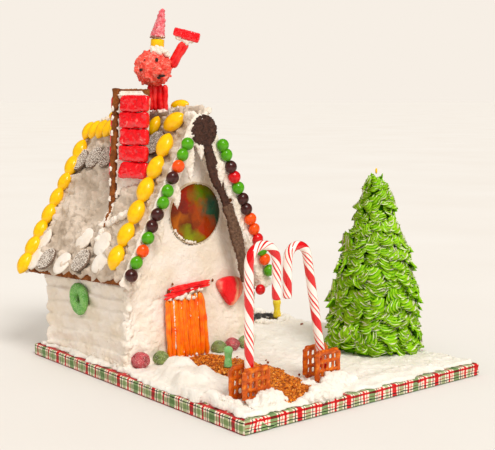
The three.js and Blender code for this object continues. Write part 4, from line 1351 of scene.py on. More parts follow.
def almonds():
    size = (17.5, 14.0, 28.0)
    for name, slope in (("left", LEFT), ("right", RIGHT)):
        front = [(0.127 + 0.76 * k / 6, 0.122 + 0.004 * (k % 2), -4 + 3 * (k % 3)) for k in range(6)]
        front += [(0.9, 0.14, 52)]
        placed(
            f"almond_row_front_{name}", row_spots(slope, front, (19, 15.5, 29), seed=3), ALMOND,
            YELLOW_SHELL, [f"almonds_front_{name}"]
        )
        back = [(0.03 + 0.76 * k / 7, 0.985, 3 * (k % 3) - 3) for k in range(8)]
        placed(
            f"almond_row_back_{name}", row_spots(slope, back, size, seed=5), ALMOND, YELLOW_SHELL,
            [f"almonds_back_{name}"]
        )
        ridge = [(0.925, 0.575 + 0.42 * k / 6, 4 * (k % 2)) for k in range(7)]
        placed(
            f"almond_row_ridge_{name}", row_spots(slope, ridge, (16, 12, 25), seed=7), ALMOND, YELLOW_SHELL,
            [f"almonds_ridge_{name}"]
        )
    # Two more almonds by the figure's foot: one leaning on the slope, one along the ridge top.
    up, out, back = LEFT.frame(0.9, 0.33)
    loose = [(LEFT.at(0.9, 0.325, 3.5), (out.cross(up), out, up), (14, 12, 24))]
    ridge_way = Vector((0.12, -0.98, 0.12)).normalized()
    top = Vector((0, 0, 1))
    across = top.cross(ridge_way).normalized()
    loose.append((np.array((-55.5, 49, 286)), (across, ridge_way.cross(across), ridge_way), (15, 12, 27)))
    loose.append((np.array((-58, 172, 273)), (across, ridge_way.cross(across), ridge_way), (15, 12, 26)))
    placed("almonds_loose", loose, ALMOND, YELLOW_SHELL)


# Round sweets up each rake from the top down, by colour initial; spots are along the CAD row.
RAKE_LEFT = "GGOBGGBBGOGB"
RAKE_RIGHT = "GGBRGBBOORGOG"
SHELLS = {
    "G": ("green", GREEN_SHELL), "O": ("orange", ORANGE_SHELL), "B": ("brown", BROWN_SHELL),
    "R": ("red", RED_SHELL)
}


def round_sweets():
    spots = {k: [] for k in SHELLS}
    rng = random.Random(9)
    for node, letters in (("round_candies_left", RAKE_LEFT), ("round_candies_right", RAKE_RIGHT)):
        low, high = box(node)
        half = 6.6
        ends = (high[0] - half, low[0] + half)
        x_top, x_foot = ends if node.endswith("left") else ends[::-1]
        for k, letter in enumerate(letters):
            t = k / (len(letters) - 1)
            x, z = x_top + (x_foot - x_top) * t, high[2] - half + (low[2] - high[2] + 2 * half) * t
            nod, swing = rng.uniform(-0.3, 0.3), rng.uniform(-0.3, 0.3)
            tilt = Matrix.Rotation(nod, 3, "X") @ Matrix.Rotation(swing, 3, "Z")
            axes = [tilt @ Vector(a) for a in ((1, 0, 0), (0, 0, 1), (0, 1, 0))]
            place = (x + rng.uniform(-0.7, 0.7), -6.0 + rng.uniform(-0.4, 0.4), z + rng.uniform(-0.7, 0.7))
            spots[letter].append((place, axes, (13.9, 13.9, 11.2)))
    spots["R"].append(
        ((10.5, -8.5, 84), [Vector((1, 0, 0)), Vector((0, 0, 1)), Vector((0, 1, 0))], (12, 12, 10))
    )
    for letter, (label, material) in SHELLS.items():
        nodes = ["round_candies_left"] if letter != "R" else ["round_candies_right"]
        placed(f"round_sweets_{label}", spots[letter], SHELL, material, nodes)


def wafer_spots(slope, spots, rise, size):
    """Guide places for wafers, each leaning out at its lower edge by its tip."""
    made = []
    for u, v, tip in spots:
        up, out, back = slope.frame(u, v)
        lean = (out + tip * up).normalized()
        made.append((slope.at(u, v, rise), (back.cross(lean).normalized(), back, lean), size))
    return made


def wafers():
    """Thin round wafers pressed into the roof; the speckled ones carry sugar beads."""

    def edge(t):
        return (1 - t**6) ** 0.5

    disc = template("wafer", *ball((0, 0, 0), (1, 1, 1), rings=8, around=32, profile=edge))
    for kind, spots, material, slot, rise, size in (
        ("plain", PLAIN_WAFERS, WHITE_WAFER, "icing", 1.2, (27, 27, 3.6)),
        ("speckled", SPECKLED_WAFERS, WAFER_BROWN, "chocolate", 3.2, (28, 28, 4.0)),
    ):
        mirrored = [(u, 1.04 - v, tip) for u, v, tip in spots]
        places = wafer_spots(LEFT, spots, rise, size) + wafer_spots(RIGHT, mirrored, rise, size)
        placed(f"wafers_{kind}", places, disc, material)
    points, faces = merge([wafer_face(*place) for place in places])
    faces_mesh = bpy.data.meshes.new("wafer_caps")
    faces_mesh.from_pydata((points * MM).tolist(), [], faces)
    bead_shape = template("sugar_bead", *ball((0, 0, 0), (1, 1, 1), rings=4, around=6))
    bead_shape.data.transform(Matrix.Scale(BEAD_SIZE, 4))
    inputs = {"Grain": bead_shape, "Spacing": 1.35 * MM, "Smallest": 0.75, "Largest": 1.1, "Seed": 3}
    beads = run_tree("wafer_beads", STREW, faces_mesh, Material=SUGAR_BEADS, **inputs)
    piece("wafer_beads", beads, SUGAR_BEADS)


def wafer_face(place, axes, size):
    """Open disc over a wafer's face, its rim drawn down, for the beads to lie on."""
    rows = np.array([tuple(a) for a in axes])
    rings, count = 5, 30
    cap = [tuple(place + rows[2] * (size[2] / 2 + 0.1))]
    for i in range(1, rings + 1):
        r = size[0] / 2 * 0.95 * i / rings
        centre = place + rows[2] * (size[2] / 2 + 0.1 - 0.5 * (i == rings))
        for k in range(count):
            a = 2 * math.pi * k / count
            cap.append(tuple(centre + r * (math.cos(a) * rows[0] + math.sin(a) * rows[1])))
    faces = [(0, 1 + k, 1 + (k + 1) % count) for k in range(count)]
    for i in range(rings - 1):
        for k in range(count):
            a, b = 1 + i * count + k, 1 + i * count + (k + 1) % count
            faces.append((a, a + count, b + count, b))
    return np.array(cap), faces


BEAD_SIZE = 1.55
# Wafers on a slope: (u up it, v back along it, lean of the lower edge).
PLAIN_WAFERS = [
    (0.07, 0.93, 0.05), (0.065, 0.63, 0.1), (0.1, 0.27, 0.1), (0.2, 0.94, 0.0), (0.2, 0.33, 0.0),
    (0.22, 0.52, 0.1)
]
SPECKLED_WAFERS = [
    (0.075, 0.785, 0.12), (0.09, 0.44, 0.12), (0.72, 0.935, 0.0), (0.73, 0.79, 0.0), (0.73, 0.66, 0.0),
    (0.79, 0.24, 0.0)
]


# ---------- sweets on the front ----------
def closed_curve(corners, steps=6):
    """Smooth closed outline through corners."""
    made, n = [], len(corners)
    p = np.array(corners, float)
    for k in range(n):
        a, b, c, d = p[k - 1], p[k], p[(k + 1) % n], p[(k + 2) % n]
        for t in np.linspace(0, 1, steps, endpoint=False):
            cubic = (3 * b - a - 3 * c + d) * t**3
            made.append(0.5 * (2 * b + (c - a) * t + (2 * a - 5 * b + 4 * c - d) * t**2 + cubic))
    return np.array(made)


def puffed(outline, back, depth, edge=0.16, dome=0.0, rings=6):
    """Body over an outline in X and Z: flat back, rounded edge and a domed face towards -Y."""
    outline = np.asarray(outline, float)
    centre = outline.mean(0)
    levels = [(1.0, 0.0), (1.0, 0.4)]
    levels += [
        (1 - edge * (1 - math.cos(a)), 0.4 + 0.6 * math.sin(a))
        for a in np.linspace(0.25, math.pi / 2, rings)
    ]
    levels += [((1 - edge) * k, 1 + dome / depth * (1 - k * k)) for k in (0.85, 0.7, 0.55, 0.4, 0.25, 0.1)]
    points = []
    for reach, rise in levels:
        for x, z in centre + (outline - centre) * reach:
            points.append((x, back - depth * rise, z))
    return np.array(points), capped_faces(len(levels) - 1, len(outline))


def round_outline(centre, radius, count=40, wobble=0.0, seed=0):
    angles = 2 * math.pi * np.arange(count) / count
    lumps = grain(np.stack([np.cos(angles), np.sin(angles), 0 * angles], -1), 0.5, 2, seed)
    reach = radius * (1 + wobble * lumps)
    return np.stack([centre[0] + reach * np.cos(angles), centre[1] + reach * np.sin(angles)], -1)


def lumpy(part, depth, size, seed=0):
    """The part with its points moved about by smooth noise."""
    points, faces = part
    moved = points + depth * np.stack([grain(points, size, 3, seed + k) for k in range(3)], -1)
    return moved, faces


def strand(path, radius, seed, sides=9, wobble=0.12, steps=26):
    """One rope of soft sweet along a few points, uneven along its length."""
    _, line = evenly(np.array(path, float), steps)
    line += 0.24 * radius * np.stack([grain(line, 14, 2, seed + k) for k in range(3)], -1)
    radii = radius * (1 + wobble * grain(line, 6, 2, seed + 5))
    radii *= np.clip(1 - np.abs(np.linspace(-1, 1, steps)) ** 16, 0.45, 1)
    return tube(line, radii, sides, section=lambda a: 1 + 0.05 * math.cos(5 * a), twist=1.5)


def window():
    low, high = box("window")
    centre = (WINDOW[0] + 0.6, WINDOW[2] + 0.9)
    pane = puffed(round_outline(centre, WINDOW_RADIUS - 0.5, 64), high[1], high[1] - low[1] + 0.2, 0.05, 1.0)
    built("window_pane", [lumpy(pane, 0.5, 9, 3)], WINDOW_SUGAR, ["window"])
    # Clear rim of boiled sugar round the pane, wide at its upper left.
    rim, reach = [], WINDOW_RADIUS - 0.4
    for k in range(72):
        a = 2 * math.pi * k / 72
        thick = 0.6 + 0.9 * max(0.0, math.cos(a - 1.9))
        rim.append((centre[0] + reach * math.cos(a), low[1] + 0.6, centre[1] + reach * math.sin(a), thick))
    rim = np.array(rim)
    built("window_rim", [ring_tube(rim[:, :3], rim[:, 3], 8)], CLEAR_SUGAR)
    rng = random.Random(4)
    lumps = []
    for k in range(9):
        a = math.radians(212 + 7 * k)
        x = centre[0] + (WINDOW_RADIUS - 1.5) * math.cos(a)
        z = centre[1] + (WINDOW_RADIUS - 2.4) * math.sin(a)
        lumps.append(blob(rng, (x, low[1] - 0.6, z), 3.0 if k % 3 else 4.6))
    piece("window_lumps", fused("window_lumps", lumps, 0.7, 0.6, 3, 4), ICING)


def ring_tube(path, radii, sides):
    """Closed ring of round section along a closed path."""
    path, count = np.asarray(path, float), len(path)
    radii = np.broadcast_to(radii, count)
    middle_point = path.mean(0)
    tangents = np.roll(path, -1, 0) - np.roll(path, 1, 0)
    tangents /= np.linalg.norm(tangents, axis=1, keepdims=True)
    points, faces = [], []
    for p, t, r in zip(path, tangents, radii):
        outward = p - middle_point
        outward -= t * np.dot(outward, t)
        outward /= np.linalg.norm(outward)
        across = np.cross(t, outward)
        for k in range(sides):
            a = 2 * math.pi * k / sides
            points.append(p + r * (math.cos(a) * outward + math.sin(a) * across))
    for i in range(count):
        for k in range(sides):
            n, j = (k + 1) % sides, (i + 1) % count
            faces.append((i * sides + k, i * sides + n, j * sides + n, j * sides + k))
    return np.array(points), faces


def door():
    """Five bundles of orange ropes, leaning a little, with icing let into the gaps."""
    rng = random.Random(31)
    ropes, gaps = [], []
    bundle = (DOOR_HIGH[0] - DOOR_LOW[0]) / 5
    y = DOOR_HIGH[1] - 3.4
    for g in range(5):
        left = DOOR_LOW[0] + bundle * g
        top = DOOR_HIGH[2] + (-2.5, -1.0, 0.5, 1.5, 2.5)[g]
        ropes_here = 2 + g % 2
        for k in range(ropes_here):
            x = left + bundle * (k + 0.55) / ropes_here
            lean = rng.uniform(-1.6, 4.4)
            bow = rng.uniform(-1, 1)
            z_top, z_foot = top - rng.uniform(0, 4), FLOOR + rng.uniform(-1, 1.5)
            depth = y + (0.4 if k == 1 else -0.6) + rng.uniform(-0.4, 0.4)
            top_x, foot_x = x - 2.6 - lean * 0.5, x + 1.8 + lean * 0.5
            waist = ((top_x + foot_x) / 2 + bow, depth - 0.6, (z_top + z_foot) / 2)
            path = [(top_x, depth, z_top), waist, (foot_x, depth, z_foot)]
            ropes.append(strand(path, rng.uniform(2.5, 3.0) + 0.3 * (3 - ropes_here), g * 5 + k, wobble=0.06))
    built("door_ropes", ropes, ORANGE_LICORICE, ["door"])
    for x, z0, z1, wide in (
        (bundle, 30, 82, 1.5), (2 * bundle - 0.5, 20, 78, 1.7), (3 * bundle - 1.0, 60, 86, 2.2),
        (4 * bundle - 1.5, 45, 88, 1.6)
    ):
        for z in np.arange(z0, z1, 1.6):
            if rng.random() < 0.8:
                spot = (DOOR_LOW[0] + x + 0.05 * (z0 - z), y - 0.9 + rng.uniform(-0.4, 0.4), z)
                gaps.append(ball(spot, (wide * rng.uniform(0.8, 1.5), 5.2, 3.4), rings=6, around=8))
    for x, z, s in (
        (3, 84, 5), (12, 85, 7), (18, 84, 8), (22, 87, 8), (27, 83, 7), (31, 90, 8), (34, 82, 5),
        (40, 91, 7), (44, 90, 6), (2, 20, 6), (6, 17, 6), (17, 19, 5), (20, 17, 5), (37, 20, 4)
    ):
        gaps.append(ball((DOOR_LOW[0] + x, y - 2.4, z), (s, 5.5, s * 0.8), rings=8, around=10))
    piece("door_icing", fused("door_icing", gaps, 0.75, 0.8, 3, 3), ICING)


def lintel():
    """Bundle of red ropes over the door, rising to the right and fraying at the left."""
    low, high = box("lintel")
    x0, x1, y = low[0], high[0], (low[1] + high[1]) / 2 - 0.5
    ends = [
        (0.0, -3.0, 0.72, 4.5, 2.3), (0.02, 0.5, 0.9, 6.5, 2.0), (0.14, 4.2, 0.97, 8.8, 2.2),
        (0.2, 6.6, 1.0, 10.6, 2.1), (0.42, 1.6, 0.98, 6.4, 1.9), (0.1, 6.5, 0.5, 9.4, 1.7)
    ]
    ropes = []
    for k, (a, za, b, zb, r) in enumerate(ends):
        depth = y - 1.4 + 1.6 * (k % 2)
        middle_x = (a + b) / 2
        path = [
            (x0 + (x1 - x0) * a, depth, low[2] + za),
            (x0 + (x1 - x0) * middle_x, depth - 0.8, low[2] + (za + zb) / 2 + 0.8),
            (x0 + (x1 - x0) * b, depth, low[2] + zb)
        ]
        ropes.append(strand(path, 0.8 * r, 40 + k))
    built("lintel_ropes", ropes, RED_LICORICE, ["lintel"])


def fruit_slice():
    low, high = box("fruit_slice")
    centre, half = (low + high) / 2, (high - low) / 2
    corners = [
        (-1.0, 0.5), (-0.86, 0.84), (-0.3, 1.0), (0.3, 1.0), (0.78, 0.8), (1.0, 0.25), (0.86, -0.3),
        (0.5, -0.74), (0.2, -1.0), (-0.05, -0.98), (-0.34, -0.62), (-0.72, -0.05)
    ]
    outline = closed_curve([(centre[0] + a * half[0], centre[2] + b * half[2]) for a, b in corners])
    part = puffed(outline, high[1], high[1] - low[1] - 1.4, 0.22, 1.4, 8)
    built("fruit_slice", [lumpy(part, 0.35, 6, 5)], slice_jelly(centre, half), ["fruit_slice"])


def slice_jelly(centre, half):
    """Two-coloured fruit jelly, red with paler bands that follow its rounded side."""
    material, tree, shader, place = surface(
        "banded_fruit_jelly", (4, 1.2, 0.8), Roughness=0.34, IOR=1.42, Specular_IOR_Level=0.3,
        Subsurface_Weight=0.1
    )
    spot = ((centre[0] - 2.1 * half[0]) * MM, centre[1] * MM, (centre[2] + 0.4 * half[2]) * MM)
    away = add(tree, "ShaderNodeVectorMath", {0: place, 1: spot}, operation="DISTANCE").outputs["Value"]
    wavy = maths(
        tree, "ADD", maths(tree, "DIVIDE", away, 3.4 * half[0] * MM),
        maths(tree, "MULTIPLY", noise_map(tree, place, 6, 3), 0.1)
    )
    bands = [
        (0.3, "#f03a40"), (0.42, "#ff8a78"), (0.47, "#ff2a30"), (0.52, "#f01820"), (0.74, "#f42a30"),
        (0.8, "#ffb890"), (0.845, "#ff7468"), (0.885, "#ffb08c"), (0.93, "#f4545a")
    ]
    mottle = ramp(tree, noise_map(tree, place, 2.6, 4, 0.7), [(0.3, "#ecd0cc"), (0.6, "#ffffff")])
    colour(tree, shader, mix(tree, "MULTIPLY", 0.8, ramp(tree, wavy, bands), mottle))
    bump(tree, shader, noise_map(tree, place, 1.5, 3), 0.5)
    return material


def sugar_ring():
    low, high = box("sugar_ring")
    centre, half = (low + high) / 2, (high - low) / 2
    tube_radius = 6.4
    spin = np.linspace(0, 2 * math.pi, 48, endpoint=False)
    y = centre[1] + (half[1] - tube_radius) * np.cos(spin)
    z = centre[2] + (half[2] - tube_radius) * np.sin(spin)
    path = np.stack([0 * spin + centre[0] + 0.4, y, z], -1)
    points, faces = ring_tube(path, tube_radius * (1 + 0.06 * np.sin(3 * spin)), 18)
    points[:, 0] = centre[0] + (points[:, 0] - centre[0]) * half[0] / tube_radius
    built("sugar_ring", [lumpy((points, faces), 0.5, 4, 2)], SUGARED_GREEN, ["sugar_ring"])


def chocolate_trim():
    low, high = box("chocolate_disc")
    centre = (low + high) / 2
    disc = puffed(
        round_outline((centre[0], centre[2]), (high[0] - low[0]) / 2, 48, 0.03, 2), high[1],
        high[1] - low[1] - 0.6, 0.08, 0.3, 8
    )
    disc_mesh = fused("chocolate_disc", [disc], 0.7, 0.0, rounds=1)
    roughen(disc_mesh, 1.5, 4.2, 4)
    piece("chocolate_disc", disc_mesh, CHOCOLATE, ["chocolate_disc"])
    low, high = box("chocolate_strip")
    x0, x1, z0, z1 = low[0] + 6, high[0] - 6, high[2] + 3, low[2]
    y = (low[1] + high[1]) / 2
    for name, a, b, lift, wide, material, seed in (
        ("strip_upper", 0.0, 0.52, 0.2, 11.5, CHOCOLATE, 3),
        ("strip_lower", 0.44, 1.0, -1.6, 12.5, GRAINY_CHOCOLATE, 6)
    ):
        parts = []
        rng = random.Random(seed)
        for t in np.linspace(a, b, 44):
            shift = 8.6 if name == "strip_lower" else 8.4 - 3.0 * t
            x = x0 + (x1 - x0) * t + 1.5 * math.sin(9 * t + 3) - shift
            z = z0 + (z1 - z0) * t
            swell = 1 + 0.16 * math.sin(23 * t + seed) + rng.uniform(-0.12, 0.12)
            width = wide * swell * (0.72 if t > 0.93 else 1)
            if name == "strip_upper" and t > 0.3:
                width *= 0.72
            axes = np.array([(0.93, 0, 0.37), (0, 1, 0), (-0.37, 0, 0.93)])
            parts.append(block((-width / 2, -2.2, -2.9), (width / 2, 2.2, 2.9), 0.8, axes, (x, y + lift, z)))
        mesh = fused(name, parts, 0.85, 0.0, rounds=1)
        roughen(mesh, 1.0 if material is CHOCOLATE else 1.3, 3.4, seed)
        piece(name, mesh, material, ["chocolate_strip"] if name == "strip_upper" else ())


def block(low, high, cut, axes=None, origin=(0, 0, 0), segments=2):
    """Box with rounded edges in its own axes, given as rows."""
    made = bmesh.new()
    bmesh.ops.create_cube(made, size=1.0)
    low, high = np.array(low, float), np.array(high, float)
    for v in made.verts:
        v.co = Vector((low + high) / 2 + np.array(v.co) * (high - low))
    bmesh.ops.bevel(made, geom=made.edges[:], offset=cut, segments=segments, profile=0.6, affect="EDGES")
    made.verts.index_update()
    points = np.array([tuple(v.co) for v in made.verts])
    faces = [tuple(v.index for v in f.verts) for f in made.faces]
    made.free()
    axes = np.eye(3) if axes is None else np.array(axes, float)
    return points @ axes + np.array(origin, float), faces


# ---------- chimney ----------
CHIMNEY_AXES = np.array(
    (Matrix.Rotation(math.radians(15.7), 3, "Z") @ Matrix.Rotation(math.radians(4.3), 3, "Y")).transposed()
)


def own_box(node, axes):
    """Lowest and highest corner of a node measured along its own axes."""
    points = vertices(node) @ axes.T
    return points.min(0), points.max(0)


def chimney():
    """Gingerbread slabs, five jelly bricks in icing on one face and a stack behind the other."""
    chimney_slabs()
    chimney_icing()
    jelly_bricks()
    rng = random.Random(8)
    chimney_smears(rng)
    chimney_joint(rng)


def brick_levels():
    return [own_box(f"brick_{k}", CHIMNEY_AXES) for k in range(1, 6)]


def chimney_slabs():
    baked("chimney", ["chimney_back"], 1.2, 0.8, 5)
    low, high = own_box("chimney_side", CHIMNEY_AXES)
    slab = block(low + np.array((0.4, 3.6, 0)), high - np.array((0.2, 0, 0)), 1.0, CHIMNEY_AXES)
    mesh = fused("chimney_side_slab", [slab], 1.2, 0.8, 5, 5, rounds=1)
    piece("chimney_chimney_side", mesh, GINGER, ["chimney_side"])


def chimney_icing():
    """Icing behind the bricks, squeezed out between them in level rolls."""
    low, high = own_box("chimney_icing", CHIMNEY_AXES)
    cell = 1.1
    u, v = grid(int((high - low)[1] / cell), int((high - low)[2] / cell))
    y, z = low[1] + (high - low)[1] * u, low[2] + (high - low)[2] * v
    spots = np.stack([0 * y, y, z], -1)
    relief = 1.2 * spread(spots, 14, 61) + 0.5 * grain(spots, 7, 3, 62) + 0.2
    for k, (_, top) in enumerate(brick_levels()):
        above = top[2] + 0.6
        relief += 5.5 * np.exp(-(((z - above) / 1.5) ** 2)) * (0.75 + 0.35 * grain(spots, 8, 2, 63 + k))
    side = 0.5 * np.exp(-(((y - low[1] - 2) / 3.0) ** 2)) * (z < high[2] - 26)
    relief += side + 3.4 * np.exp(-(((high[1] - y) / 3.4) ** 2))
    # The icing stops short of the top front corner, where the gingerbread is bare.
    from_corner = (high[2] - z) + 0.9 * (y - low[1])
    keep = (from_corner > 10 + 2.5 * grain(spots, 8, 3, 66))[:-1, :-1]
    face = np.stack([low[0] + 1.5 - relief - 0.4, y, z], -1) @ CHIMNEY_AXES
    back = np.stack([0 * y + high[0] + 0.1, y, z], -1) @ CHIMNEY_AXES
    points, faces, _ = shell(face, back, keep)
    piece("chimney_icing", to_mesh("chimney_icing", points, faces), ICING, ["chimney_icing"])


def jelly_bricks():
    """Bricks on the front face, each a little wider than the one above, and the stack behind."""
    axes, levels = CHIMNEY_AXES, brick_levels()
    for k, (a, b) in enumerate(levels):
        low = a + np.array((-0.6, -1.3 - 0.5 * (4 - k), -0.4))
        high = b + np.array((0.2, -2.4 - 0.4 * (4 - k), 0.4))
        mesh = fused(f"jelly_brick_{k + 1}", [block(low, high, 4.2, axes, segments=3)], 0.8, rounds=2)
        roughen(mesh, 1.3, 11, 70 + k, torn=False)
        piece(f"jelly_brick_{k + 1}", mesh, RED_JELLY_WITH_PAINTED_HIGHLIGHTS, [f"brick_{k + 1}"])
    low, high = own_box("bricks_behind", axes)
    stack = [block((low[0] + 1.5, low[1], a[2]), (high[0] - 1, high[1], b[2]), 3.3, axes) for a, b in levels]
    tie_low, tie_high = levels[0][0][2] + 6, levels[-1][1][2] - 6
    stack.append(block((low[0] + 8, low[1], tie_low), (high[0] - 8, high[1] - 2, tie_high), 1.0, axes))
    mesh = fused("jelly_bricks_behind", stack, 0.9, rounds=2)
    piece("jelly_bricks_behind", mesh, RED_JELLY_WITH_PAINTED_HIGHLIGHTS, ["bricks_behind"])


def chimney_smears(rng):
    """Icing smeared down the slab's left edge and on down the roof, with bare gingerbread beside it."""
    axes = CHIMNEY_AXES
    low, high = own_box("chimney_back", axes)
    mid_y = (low[1] + high[1]) / 2
    smear = []
    for t in np.linspace(0.0, 1.0, 40):
        z = low[2] + (high[2] - low[2] - 6) * t
        if t > 0.12 and rng.random() < 0.4:
            smear.append(ball(turned(low[0] + 3.5, low[1] - 1.4, z, axes), (3, 4, 6), axes, rings=8, around=10))
        if rng.random() < 0.12:
            smear.append(
                ball(turned(low[0] - 0.2, mid_y + 1.5, z, axes), (2.6, 4.5, 7), axes, rings=8, around=10)
            )
    foot = turned(low[0], mid_y - 5, low[2] + 2, axes)
    tail = [foot + np.array(step) for step in ((0, 0, 4), (-7, 0, -10), (-15, -1, -24), (-20, -2, -33))]
    smear += bead(rng, [on_roof(p, 1.0) for p in tail], 7.5, 0.5, 0.2)
    # Gingerbread laid bare where the slab was pushed into the roof's icing.
    crack = []
    for t in np.linspace(0, 1, 26):
        place = on_roof(foot + np.array((-1.0 - 11 * t, -1.0 - 3 * t, 6 - 30 * t)), 3.4)
        sway = np.array((0.7 * math.sin(9 * t), 0, 0))
        crack.append(ball(place + sway, (3.6 - 1.6 * t, 5.0 - 2 * t, 4.5), rings=6, around=8))
    piece("chimney_foot", fused("chimney_foot", crack, 0.8, 0.9, 4, 19), GINGER)
    piece("chimney_smears", fused("chimney_smears", smear, 0.9, 1.0, 5, 9), ICING)


def chimney_joint(rng):
    """Icing where the chimney's front face meets the roof."""
    low, high = brick_levels()[0]
    along = [low[1] + (high[1] - low[1]) * t for t in np.linspace(0, 1, 16)]
    joint = bead(rng, [on_roof(turned(low[0] + 3, y, 0, CHIMNEY_AXES), 0.8) for y in along], 7, 0.5, 0.25)
    piece("chimney_joint", fused("chimney_joint", joint, 1.0, 1.0, 5, 3), ICING)


def on_roof(point, lift):
    """The place on the left slope over or under a point, lifted off the icing."""
    return LEFT.at(*patch_place(LEFT, point), lift)


def patch_place(slope, point):
    """The u and v of the patch over a point's own x and y."""
    front, back = slope.corners[0][0][1], slope.corners[0][1][1]
    v = float(np.clip((point[1] - front) / (back - front), 0, 1))
    a, b = slope.at(0.0, v), slope.at(1.0, v)
    return float((point[0] - a[0]) / (b[0] - a[0])), v


# ---------- figure on the ridge ----------
FIGURE_AXES = np.array([(0.7745, -0.6326, 0), (0.6326, 0.7745, 0), (0, 0, 1)])
HEAD_CENTRE = middle("figure_body")
HEAD_RADIUS = (box("figure_body")[1] - box("figure_body")[0])[2] / 2
CONE_FOOT, CONE_TAPER = 8.0, 5.6  # radius of the hat at its foot, and how much of it is gone at the tip


def turned(x, y, z, axes):
    """Point given along an object's own axes."""
    return np.array((x, y, z)) @ axes


def figure():
    """Frosted ball on licorice legs, with a cone hat and one raised arm; plain dots in the frosting."""
    rng = random.Random(17)
    figure_ball(rng)
    figure_legs()
    figure_band(rng)
    figure_hat(rng)
    figure_arm()
    figure_hand(rng)
    figure_dots()


def figure_ball(rng):
    """Ball covered with short strokes of frosting."""
    radius = HEAD_RADIUS
    parts = [ball(HEAD_CENTRE, (2 * radius * 0.93, 2 * radius * 0.9, 2 * radius * 0.93), rings=20, around=28)]
    for _ in range(70):
        way = Vector([rng.gauss(0, 1) for _ in range(3)]).normalized()
        side = way.orthogonal().normalized()
        if abs(way.z) > 0.86:
            continue
        wide = rng.uniform(5, 10)
        place = HEAD_CENTRE + np.array(way) * radius * rng.uniform(0.84, 0.93)
        size = (wide, wide * 0.5, rng.uniform(4, 9))
        parts.append(ball(place, size, [side, way.cross(side), way], rings=6, around=8))
    skin = fused("figure_body", parts, 0.85, 1.5, 7, 13, rounds=1)
    piece("figure_body", skin, RED_FROSTING, ["figure_body"])


def figure_legs():
    low, high = own_box("figure_legs", FIGURE_AXES)
    legs = []
    for k, along in enumerate((0.12, 0.37, 0.64, 0.89)):
        x = low[0] + (high[0] - low[0]) * along
        y = (low[1] + high[1]) / 2
        places = [
            (x, y + 1.2 * (k % 2), low[2] + 0.5), (x - 0.6, y, (low[2] + high[2]) / 2),
            (x, y, high[2] - 0.5)
        ]
        legs.append(strand([turned(*p, FIGURE_AXES) for p in places], 3.3, 80 + k, wobble=0.06))
    built("figure_legs", legs, RED_LICORICE, ["figure_legs"])


def figure_band(rng):
    """Yellow band under the hat, and icing between the ball and the band and down its right side."""
    axes = FIGURE_AXES
    low, high = own_box("figure_hatband", axes)
    mid, size = (low + high) / 2, high - low
    tall = size[2] - 1.5
    path = [turned(mid[0] + 0.8 * t, mid[1], mid[2] + tall * t - 1.0, axes) for t in np.linspace(-0.5, 0.5, 9)]
    band = fused("figure_band", [tube(path, size[0] / 2 - 0.2, 28)], 0.8, rounds=3)
    piece("figure_band", band, YELLOW_SHELL, ["figure_hatband"])
    over = turned(mid[0] + 0.8, mid[1], high[2] + 0.6, axes)
    cap = [ball(over, (size[0] + 1.5, size[0] + 1.0, 4.4), rings=8, around=20)]
    dabs_under = (
        (-5, -7, 6), (0, -8, 7), (5, -8.5, 7), (8.5, -11, 7), (11, -13, 6), (-3, -10.5, 7), (4, -12, 8),
        (13, -15, 4)
    )
    for x, z, s in dabs_under:
        cap.append(blob(rng, turned(mid[0] + x, mid[1] - 8.0 - 0.2 * s, mid[2] + z + 3.0, axes), s))
    piece("figure_icing", fused("figure_icing", cap, 0.75, 1.0, 3.5, 14), ICING)


def figure_hat(rng):
    """Cone of pink frosting in lumps, on a thin brim of crumbs."""
    axes = FIGURE_AXES
    low, high = own_box("figure_hat", axes)
    tip_x, foot_x, y = high[0] - 2.2, low[0] + 8.2, (low[1] + high[1]) / 2
    rings = np.linspace(0, 1, 16)
    path = [
        turned(foot_x + (tip_x - foot_x) * t, y, low[2] + 0.8 + (high[2] - low[2] - 1.6) * t, axes)
        for t in rings
    ]
    cone = tube(path, CONE_FOOT - CONE_TAPER * rings, 20)
    lumps = [blob(rng, turned(tip_x, y, high[2] - 1.6, axes), 6.0, 0.1)]
    for _ in range(34):
        t, a = rng.random(), rng.uniform(0, 6.28)
        r = (CONE_FOOT - CONE_TAPER * t) * 0.85
        x, z = foot_x + (tip_x - foot_x) * t + r * math.cos(a), low[2] + 1.5 + (high[2] - low[2] - 3) * t
        lumps.append(blob(rng, turned(x, y + r * math.sin(a), z, axes), 3.6))
    hat = fused("figure_hat", [cone] + lumps, 0.75, 1.0, 3, 15, rounds=1)
    piece("figure_hat", hat, PINK_SUGAR, ["figure_hat"])
    brim = tube([turned(foot_x - 0.2, y, low[2] + z, axes) for z in (-0.4, 0.3, 1.0)], (8.2, 8.6, 8.0), 24)
    built("figure_brim", [brim], TOFFEE)


def figure_arm():
    """Two ropes side by side, bent a little at the elbow."""
    low, high = own_box("figure_arm", FIGURE_AXES)
    y, r = (low[1] + high[1]) / 2, (high[1] - low[1]) / 2
    strands = []
    for k, side in enumerate((-0.5, 0.5)):
        path = []
        for t, bow in ((-0.22, 0.0), (0.4, -0.6), (0.75, -0.5), (1.0, 0.8)):
            x = low[0] + r + (high[0] - low[0] - 2 * r) * (t + 0.04 * bow)
            z = low[2] + r + (high[2] - low[2] - 1.3 * r) * (t - 0.03 * bow)
            path.append(turned(x + side * 3.6 * 0.8, y + side * 1.6, z - side * 3.6 * 0.6, FIGURE_AXES))
        strands.append(strand(path, 3.7, 90 + k, sides=12, wobble=0.06))
    built("figure_arm", strands, RED_LICORICE, ["figure_arm"])


